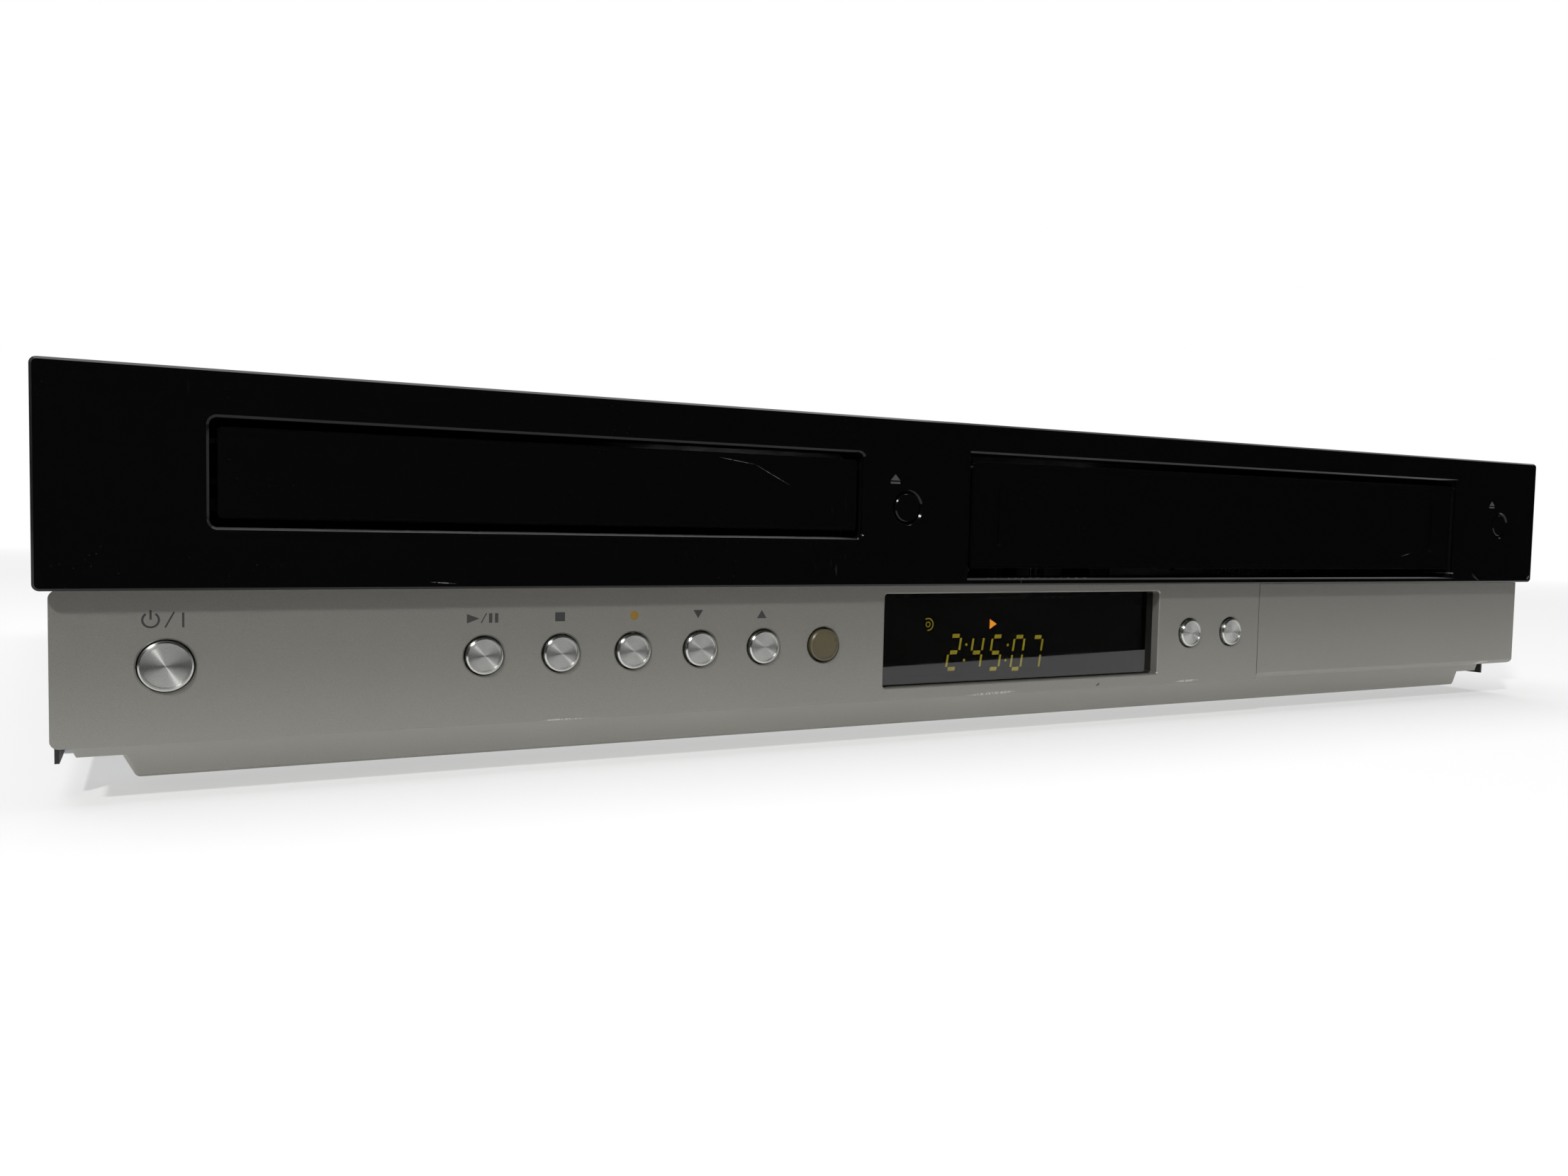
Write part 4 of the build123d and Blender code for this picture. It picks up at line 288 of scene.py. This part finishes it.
def spun_metal():
    """Aluminium turned on a lathe: brushed in circles round the cap's own middle."""
    graph = Graph("spun_metal")
    graph.set(Metallic=1.0, Anisotropic=0.9, Anisotropic_Rotation=0.25)
    rings = graph.node("ShaderNodeTexWave", wave_type="RINGS", rings_direction="Y")
    rings.inputs["Scale"].default_value = 24.0
    rings.inputs["Distortion"].default_value = 0.6
    coordinates = graph.node("ShaderNodeTexCoord")
    centred = graph.node("ShaderNodeMapping")
    centred.inputs["Location"].default_value = (-0.5, -0.5, -0.5)
    graph.link(coordinates.outputs["Generated"], centred.inputs["Vector"])
    graph.link(centred.outputs[0], rings.inputs["Vector"])
    graph.link(
        graph.blend(rings.outputs["Fac"], (0.66, 0.66, 0.635), (0.84, 0.835, 0.81)),
        graph.shader.inputs["Base Color"],
    )
    graph.link(
        graph.span(rings.outputs["Fac"], 0.0, 1.0, 0.27, 0.36), graph.shader.inputs["Roughness"]
    )
    tangent = graph.node("ShaderNodeTangent", direction_type="RADIAL", axis="Y")
    graph.link(tangent.outputs[0], graph.shader.inputs["Tangent"])
    graph.bump(rings.outputs["Fac"], 0.000004)
    return graph.material


def smoked_lens():
    """Clear dark plastic over the display."""
    graph = Graph("dark_lens")
    graph.set(IOR=LENS_INDEX, Transmission_Weight=1.0, Specular_IOR_Level=0.95)
    haze = graph.noise(40.0)
    tint = graph.blend(graph.span(haze, 0.3, 0.7), (0.050, 0.049, 0.047), (0.060, 0.059, 0.057))
    graph.link(tint, graph.shader.inputs["Base Color"])
    graph.link(graph.span(haze, 0.3, 0.7, 0.01, 0.03), graph.shader.inputs["Roughness"])
    return graph.material


def glowing(name, colour, strength):
    """A lit segment of the display, a little uneven."""
    graph = Graph(name)
    graph.set(Roughness=0.6, Emission_Strength=strength)
    uneven = graph.span(graph.noise(700.0), 0.3, 0.7)
    dim = tuple(channel * 0.75 for channel in colour)
    graph.link(graph.blend(uneven, dim, colour), graph.shader.inputs["Emission Color"])
    graph.link(graph.blend(uneven, dim, colour), graph.shader.inputs["Base Color"])
    return graph.material


def brushed(name, dark, light, stretch, rough=(0.28, 0.45)):
    """Rolled or plated metal with its grain along one direction."""
    graph = finish(
        name, dark, light, rough, 2600.0, 0.000006, patch=30.0, stretch=stretch, Metallic=1.0
    )
    return graph.material


def plain(name, dark, light, rough, grain, depth, **values):
    return finish(name, dark, light, rough, grain, depth, **values).material


def board_material():
    """Green solder resist with faint copper tracks beneath it."""
    graph = Graph("green_board")
    graph.set(IOR=1.5)
    tracks = graph.node("ShaderNodeTexBrick")
    tracks.inputs["Scale"].default_value = 170.0
    tracks.inputs["Mortar Size"].default_value = 0.03
    graph.link(graph.place(), tracks.inputs["Vector"])
    colour = graph.blend(tracks.outputs["Fac"], (0.020, 0.110, 0.045), (0.055, 0.22, 0.09))
    graph.link(colour, graph.shader.inputs["Base Color"])
    graph.link(graph.span(graph.noise(90.0), 0.3, 0.7, 0.3, 0.45), graph.shader.inputs["Roughness"])
    graph.bump(tracks.outputs["Fac"], 0.00003)
    return graph.material


MATERIALS = {
    "gloss_black": gloss_black(),
    "silver_paint": silver_paint("silver_paint"),
    "spun_metal": spun_metal(),
    "dark_lens": smoked_lens(),
    "amber_plastic": plain(
        "amber_plastic", (0.085, 0.075, 0.045), (0.13, 0.105, 0.05), (0.25, 0.4), 3000.0, 0.000008
    ),
    "display_glass": plain(
        "display_glass", (0.004, 0.005, 0.006), (0.008, 0.009, 0.01), (0.1, 0.2), 900.0, 0.000002
    ),
    "black_steel": plain(
        "black_steel", (0.012, 0.012, 0.013), (0.020, 0.020, 0.021), (0.42, 0.58), 2600.0, 0.00005
    ),
    "zinc_steel": brushed("zinc_steel", (0.46, 0.47, 0.48), (0.60, 0.61, 0.62), (1, 12, 12)),
    "bright_steel": brushed(
        "bright_steel", (0.60, 0.60, 0.62), (0.76, 0.76, 0.78), (8, 8, 1), (0.12, 0.25)
    ),
    "cast_alloy": brushed("cast_alloy", (0.55, 0.56, 0.58), (0.72, 0.73, 0.75), (1, 1, 14)),
    "plated_steel": brushed("plated_steel", (0.50, 0.46, 0.34), (0.64, 0.60, 0.46), (1, 10, 10)),
    "black_plastic": plain(
        "black_plastic", (0.014, 0.014, 0.014), (0.024, 0.024, 0.024), (0.42, 0.6), 3200.0, 0.00003
    ),
    "white_plastic": plain(
        "white_plastic", (0.66, 0.65, 0.60), (0.78, 0.77, 0.72), (0.35, 0.5), 2200.0, 0.00001
    ),
    "rubber": plain("rubber", grey(0.018), grey(0.032), (0.7, 0.85), 3600.0, 0.00004),
    "green_board": board_material(),
}
# a lighter copy of the silver for the plinth: painted bounce light from the table
SKIRT_SILVER_PAINTED_BOUNCE = silver_paint("skirt_silver_painted_bounce", SKIRT_PAINTED_BOUNCE, SKIRT_METALLIC)
PRINT_DARK = plain("print_dark", grey(0.030), grey(0.042), (0.5, 0.6), 2500.0, 0.000002)
PRINT_PALE = plain("print_pale", grey(0.045), grey(0.060), (0.5, 0.6), 2500.0, 0.000002)
PRINT_AMBER = plain(
    "print_amber", (0.22, 0.13, 0.012), (0.27, 0.16, 0.016), (0.5, 0.6), 2500.0, 0.000002
)
SEGMENT = glowing("segment", (0.42, 0.35, 0.03), 9.5)
SIGN_LIT = glowing("sign_lit", (1.0, 0.36, 0.04), 16.0)


def dress_nodes():
    """Every CAD node takes the material of its slot in the record; the plinth then takes a lighter
    copy of the silver, which paints in light bounced up from the table.
    """
    for part in frame["record"]["subparts"]:
        node = nodes[part["node"]]
        node.data.materials.clear()
        node.data.materials.append(MATERIALS[part["material_slot"]])
    # the plinth takes the lighter copy: painted bounce light
    nodes["base_skirt"].data.materials[0] = SKIRT_SILVER_PAINTED_BOUNCE


# ---------------------------------------------------------------- printed signs
def solid(name, outlines, y, thick, material, body):
    """Flat shapes in x and z, given in millimetres, as thin solids that face the front."""
    mesh = bmesh.new()
    for outline in outlines:
        front = [mesh.verts.new((x * MM, y - thick, z * MM)) for x, z in outline]
        rear = [mesh.verts.new((x * MM, y, z * MM)) for x, z in outline]
        mesh.faces.new(front)
        mesh.faces.new(list(reversed(rear)))
        count = len(outline)
        for i in range(count):
            j = (i + 1) % count
            mesh.faces.new((front[i], rear[i], rear[j], front[j]))
    bmesh.ops.recalc_face_normals(mesh, faces=mesh.faces)
    data = bpy.data.meshes.new(name)
    mesh.to_mesh(data)
    mesh.free()
    data.materials.append(material)
    made = bpy.data.objects.new(name, data)
    bpy.context.scene.collection.objects.link(made)
    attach(made, body)
    return made


def bar(x0, z0, x1, z1, width):
    """A straight stroke between two points."""
    along = Vector((x1 - x0, z1 - z0)).normalized()
    side = Vector((-along.y, along.x)) * width / 2
    return [
        (x0 + side.x, z0 + side.y),
        (x0 - side.x, z0 - side.y),
        (x1 - side.x, z1 - side.y),
        (x1 + side.x, z1 + side.y),
    ]


def arc(x, z, radius, width, start, end, steps=28):
    """Pieces of a round stroke, angles in degrees from the right, turning upwards."""
    pieces = []
    for i in range(steps):
        a = math.radians(start + (end - start) * i / steps)
        b = math.radians(start + (end - start) * (i + 1) / steps)
        inner, outer = radius - width / 2, radius + width / 2
        pieces.append(
            [
                (x + inner * math.cos(a), z + inner * math.sin(a)),
                (x + outer * math.cos(a), z + outer * math.sin(a)),
                (x + outer * math.cos(b), z + outer * math.sin(b)),
                (x + inner * math.cos(b), z + inner * math.sin(b)),
            ]
        )
    return pieces


def disc(x, z, radius, steps=32):
    turn = 2 * math.pi / steps
    angles = [i * turn for i in range(steps)]
    return [(x + radius * math.cos(angle), z + radius * math.sin(angle)) for angle in angles]


def box_sign(x, z, width, height):
    w, h = width / 2, height / 2
    return [(x - w, z - h), (x + w, z - h), (x + w, z + h), (x - w, z + h)]


def triangle(x, z, width, height, direction):
    """A filled triangle that points right, up or down."""
    w, h = width / 2, height / 2
    if direction == "right":
        return [(x - w, z - h), (x + w, z), (x - w, z + h)]
    tip = h if direction == "up" else -h
    return [(x - w, z - tip), (x + w, z - tip), (x, z + tip)]


def add_printing():
    """Signs above the buttons."""
    stroke = 0.36
    power = arc(-197.17, 33.24, 1.32, stroke, 125, 415)
    power += [bar(-197.17, 33.3, -197.17, 35.0, stroke)]
    power += [bar(-194.87, 31.82, -193.40, 34.64, 0.28), bar(-191.95, 31.8, -191.95, 34.5, stroke)]
    play = [triangle(-139.69, 32.44, 2.5, 1.9, "right"), bar(-138.07, 31.52, -137.01, 33.49, 0.22)]
    play += [box_sign(x, 32.5, 0.68, 1.94) for x in (-136.15, -134.95)]
    stop = [box_sign(-121.63, 32.51, 2.1, 1.9)]
    arrows = [triangle(-90.19, 32.57, 2.3, 1.8, "down"), triangle(-74.41, 32.31, 2.4, 1.9, "up")]
    signs = {
        "sign_power": power,
        "sign_play": play,
        "sign_stop": stop,
        "sign_arrows": arrows,
    }
    for name, shapes in signs.items():
        solid(name, shapes, SILVER_Y, PROUD, PRINT_DARK, "case")
    record = [disc(-105.18, 32.55, 0.97)]
    solid("sign_record", record, SILVER_Y, PROUD, PRINT_AMBER, "case")
    for name, x, z, width in (("sign_disc", -41.53, 64.15, 2.7), ("sign_tape", 191.17, 64.24, 2.7)):
        shapes = [triangle(x, z + 0.35, width, 1.5, "up"), box_sign(x, z - 0.95, width, 0.5)]
        solid(name, shapes, FRONT_Y, PROUD, PRINT_PALE, "case")


# ---------------------------------------------------------------- display
SEGMENTS = {
    "0": "abcdef",
    "1": "bc",
    "2": "abged",
    "3": "abgcd",
    "4": "fgbc",
    "5": "afgcd",
    "6": "afgedc",
    "7": "abc",
    "8": "abcdefg",
    "9": "abcfgd",
}
READING = "2:45:07"
DIGIT_HEIGHT = 8.4
DIGIT_WIDTH = 3.3
DIGIT_STROKE_FLAT = 1.0
DIGIT_STROKE_UPRIGHT = 0.62
DIGIT_SLANT = 0.15
DIGIT_PITCH = 6.1
COLON_ROOM = 1.1
DIGIT_LEFT = -19.3
DIGIT_LOW = 17.0
DIGIT_RISE = -1.2 / 32.9  # the row drops this much towards the right, from its corners


def segment_shapes(digit, left, low):
    """The lit strokes of one digit, slanted to the right."""
    w, h, gap = DIGIT_WIDTH, DIGIT_HEIGHT, 0.55
    places = {
        "a": (gap, h, w - gap, h),
        "g": (gap, h / 2, w - gap, h / 2),
        "d": (gap, 0, w - gap, 0),
        "f": (0, h / 2 + gap, 0, h - gap),
        "b": (w, h / 2 + gap, w, h - gap),
        "e": (0, gap, 0, h / 2 - gap),
        "c": (w, gap, w, h / 2 - gap),
    }
    shapes = []
    for letter in SEGMENTS[digit]:
        x0, z0, x1, z1 = places[letter]
        stroke = DIGIT_STROKE_FLAT if letter in "agd" else DIGIT_STROKE_UPRIGHT
        outline = bar(x0, z0, x1, z1, stroke)
        shapes.append([(left + x + z * DIGIT_SLANT, low + z) for x, z in outline])
    return shapes


def add_display():
    """Lit digits and two signs on the display tube's front."""
    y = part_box("display_tube")[0].y
    shapes = []
    left = DIGIT_LEFT
    for character in READING:
        low = DIGIT_LOW + (left - DIGIT_LEFT) * DIGIT_RISE
        if character == ":":
            middle = left - (DIGIT_PITCH - DIGIT_WIDTH) / 2 + COLON_ROOM / 2
            for z in (2.3, 6.3):
                shapes.append(disc(middle + z * DIGIT_SLANT, low + z, 0.36, 12))
            left += COLON_ROOM
            continue
        shapes += segment_shapes(character, left, low)
        left += DIGIT_PITCH
    solid("lit_digits", shapes, y, PROUD, SEGMENT, "case")
    play = [triangle(-4.74, 28.2, 2.2, 2.6, "right")]
    solid("lit_play", play, y, PROUD, SIGN_LIT, "case")
    ring = arc(-25.1, 28.5, 1.5, 0.28, -95, 120) + arc(-25.1, 28.5, 0.6, 0.22, 0, 360, 20)
    solid("lit_disc", ring, y, PROUD, SEGMENT, "case")


# ---------------------------------------------------------------- stage and light
# A pale strip low in the window reads as the table's reflection. Its upper edge, taken at
# columns clear of the digits and mirrored at the lens, meets the table between these points.
TABLE_EDGE_LEFT = Vector((51.0, -303.4)) * MM
TABLE_EDGE_RIGHT = Vector((185.4, -320.8)) * MM
FLAG_HEIGHT = 1.2
FLAG_WIDTH = 5.0
FLOOR_SIZE = 12.0
FLOOR_WHITE = 0.5  # share of the table's white that is its own, near the player
FLOOR_FADE = (0.45, 1.6)  # distances over which the rest comes in


AMBIENT = 0.156
WHITE = 1.0
# Name, place, aim and size in metres, then watts. The key is small and steep, for the sharp
# shadow under the upper fascia's overhang.
LAMPS = (
    ("key", (-0.80, -0.84, 0.87), (-0.05, -0.17, 0.04), (0.09, 0.09), 9.6),
    ("overhead", (0.0, 0.1, 1.4), (0, 0, 0), (1.8, 1.2), 18.0),
)


def plane(name, centre, x_axis, y_axis):
    """A flat four-sided sheet from its middle and two half sides."""
    corners = [centre - x_axis - y_axis, centre + x_axis - y_axis]
    corners += [centre + x_axis + y_axis, centre - x_axis + y_axis]
    data = bpy.data.meshes.new(name)
    data.from_pydata(corners, [], [(0, 1, 2, 3)])
    made = bpy.data.objects.new(name, data)
    bpy.context.scene.collection.objects.link(made)
    return made


def seen_ray(tree):
    """1 for the rays of the camera, gloss and glass, 0 for the light's own."""
    path = tree.nodes.new("ShaderNodeLightPath")
    either = tree.nodes.new("ShaderNodeMath")
    either.operation = "MAXIMUM"
    seen = tree.nodes.new("ShaderNodeMath")
    seen.operation = "MAXIMUM"
    tree.links.new(path.outputs["Is Camera Ray"], either.inputs[0])
    tree.links.new(path.outputs["Is Glossy Ray"], either.inputs[1])
    tree.links.new(either.outputs[0], seen.inputs[0])
    tree.links.new(path.outputs["Is Transmission Ray"], seen.inputs[1])
    return seen.outputs[0]


def white_where_seen(tree, lit_socket, output_socket):
    """Full white for what the camera, gloss and glass see; the lit shader for the rest."""
    white = tree.nodes.new("ShaderNodeBackground")
    white.inputs["Color"].default_value = (1, 1, 1, 1)
    white.inputs["Strength"].default_value = WHITE
    mix = tree.nodes.new("ShaderNodeMixShader")
    tree.links.new(seen_ray(tree), mix.inputs[0])
    tree.links.new(lit_socket, mix.inputs[1])
    tree.links.new(white.outputs[0], mix.inputs[2])
    tree.links.new(mix.outputs[0], output_socket)


def add_world():
    world = bpy.data.worlds.new("studio")
    bpy.context.scene.world = world
    world.use_nodes = True
    tree = world.node_tree
    tree.nodes.clear()
    output = tree.nodes.new("ShaderNodeOutputWorld")
    room = tree.nodes.new("ShaderNodeBackground")
    room.inputs["Color"].default_value = (1.0, 0.99, 0.97, 1)
    room.inputs["Strength"].default_value = AMBIENT
    white_where_seen(tree, room.outputs[0], output.inputs["Surface"])


def add_floor():
    sides = Vector((FLOOR_SIZE, 0, 0)), Vector((0, FLOOR_SIZE, 0))
    floor = plane("floor", Vector((0, 0, 0)), *sides)
    graph = Graph("floor")
    graph.set(Roughness=0.9, Specular_IOR_Level=0.1)
    tone = graph.span(graph.noise(3.0), 0.3, 0.7)
    graph.link(graph.blend(tone, grey(0.90), grey(0.92)), graph.shader.inputs["Base Color"])
    # the table's white is part its own, and grows to all of it away from the player
    tree = graph.tree
    away = graph.node("ShaderNodeVectorMath", operation="LENGTH")
    graph.link(graph.place(), away.inputs[0])
    share = graph.span(away.outputs["Value"], *FLOOR_FADE, FLOOR_WHITE, 1.0)
    white = graph.node("ShaderNodeEmission")
    white.inputs["Strength"].default_value = WHITE
    mix = graph.node("ShaderNodeMixShader")
    graph.link(graph.times(share, seen_ray(tree)), mix.inputs[0])
    graph.link(graph.shader.outputs[0], mix.inputs[1])
    graph.link(white.outputs[0], mix.inputs[2])
    graph.link(mix.outputs[0], graph.output.inputs["Surface"])
    floor.data.materials.append(graph.material)


def add_flag():
    """A dark card along the table's edge, seen only in gloss, for the dark room beyond it."""
    along = (TABLE_EDGE_RIGHT - TABLE_EDGE_LEFT).normalized()
    middle = TABLE_EDGE_LEFT - along * TABLE_EDGE_LEFT.x / along.x
    flag = plane(
        "flag",
        Vector((middle.x, middle.y, FLAG_HEIGHT / 2)),
        Vector((along.x, along.y, 0)) * FLAG_WIDTH / 2,
        Vector((0, 0, FLAG_HEIGHT / 2)),
    )
    graph = Graph("flag")
    graph.set(Roughness=1.0, Specular_IOR_Level=0.0)
    tone = graph.span(graph.noise(2.0), 0.3, 0.7)
    graph.link(graph.blend(tone, grey(0.004), grey(0.012)), graph.shader.inputs["Base Color"])
    flag.data.materials.append(graph.material)
    flag.visible_camera = False
    flag.visible_diffuse = False
    flag.visible_transmission = False
    flag.visible_shadow = False


def add_lamp(name, place, aim, size, power):
    data = bpy.data.lights.new(name, "AREA")
    data.shape = "RECTANGLE"
    data.size, data.size_y = size
    data.energy = power
    lamp = bpy.data.objects.new(name, data)
    lamp.location = place
    lamp.rotation_mode = "QUATERNION"
    lamp.rotation_quaternion = (Vector(aim) - Vector(place)).to_track_quat("-Z", "Y")
    bpy.context.scene.collection.objects.link(lamp)


def add_lights():
    for lamp in LAMPS:
        add_lamp(*lamp)


add_camera()
dress_nodes()
add_printing()
add_display()
add_world()
add_floor()
add_flag()
add_lights()
bpy.context.scene.view_settings.view_transform = "Standard"

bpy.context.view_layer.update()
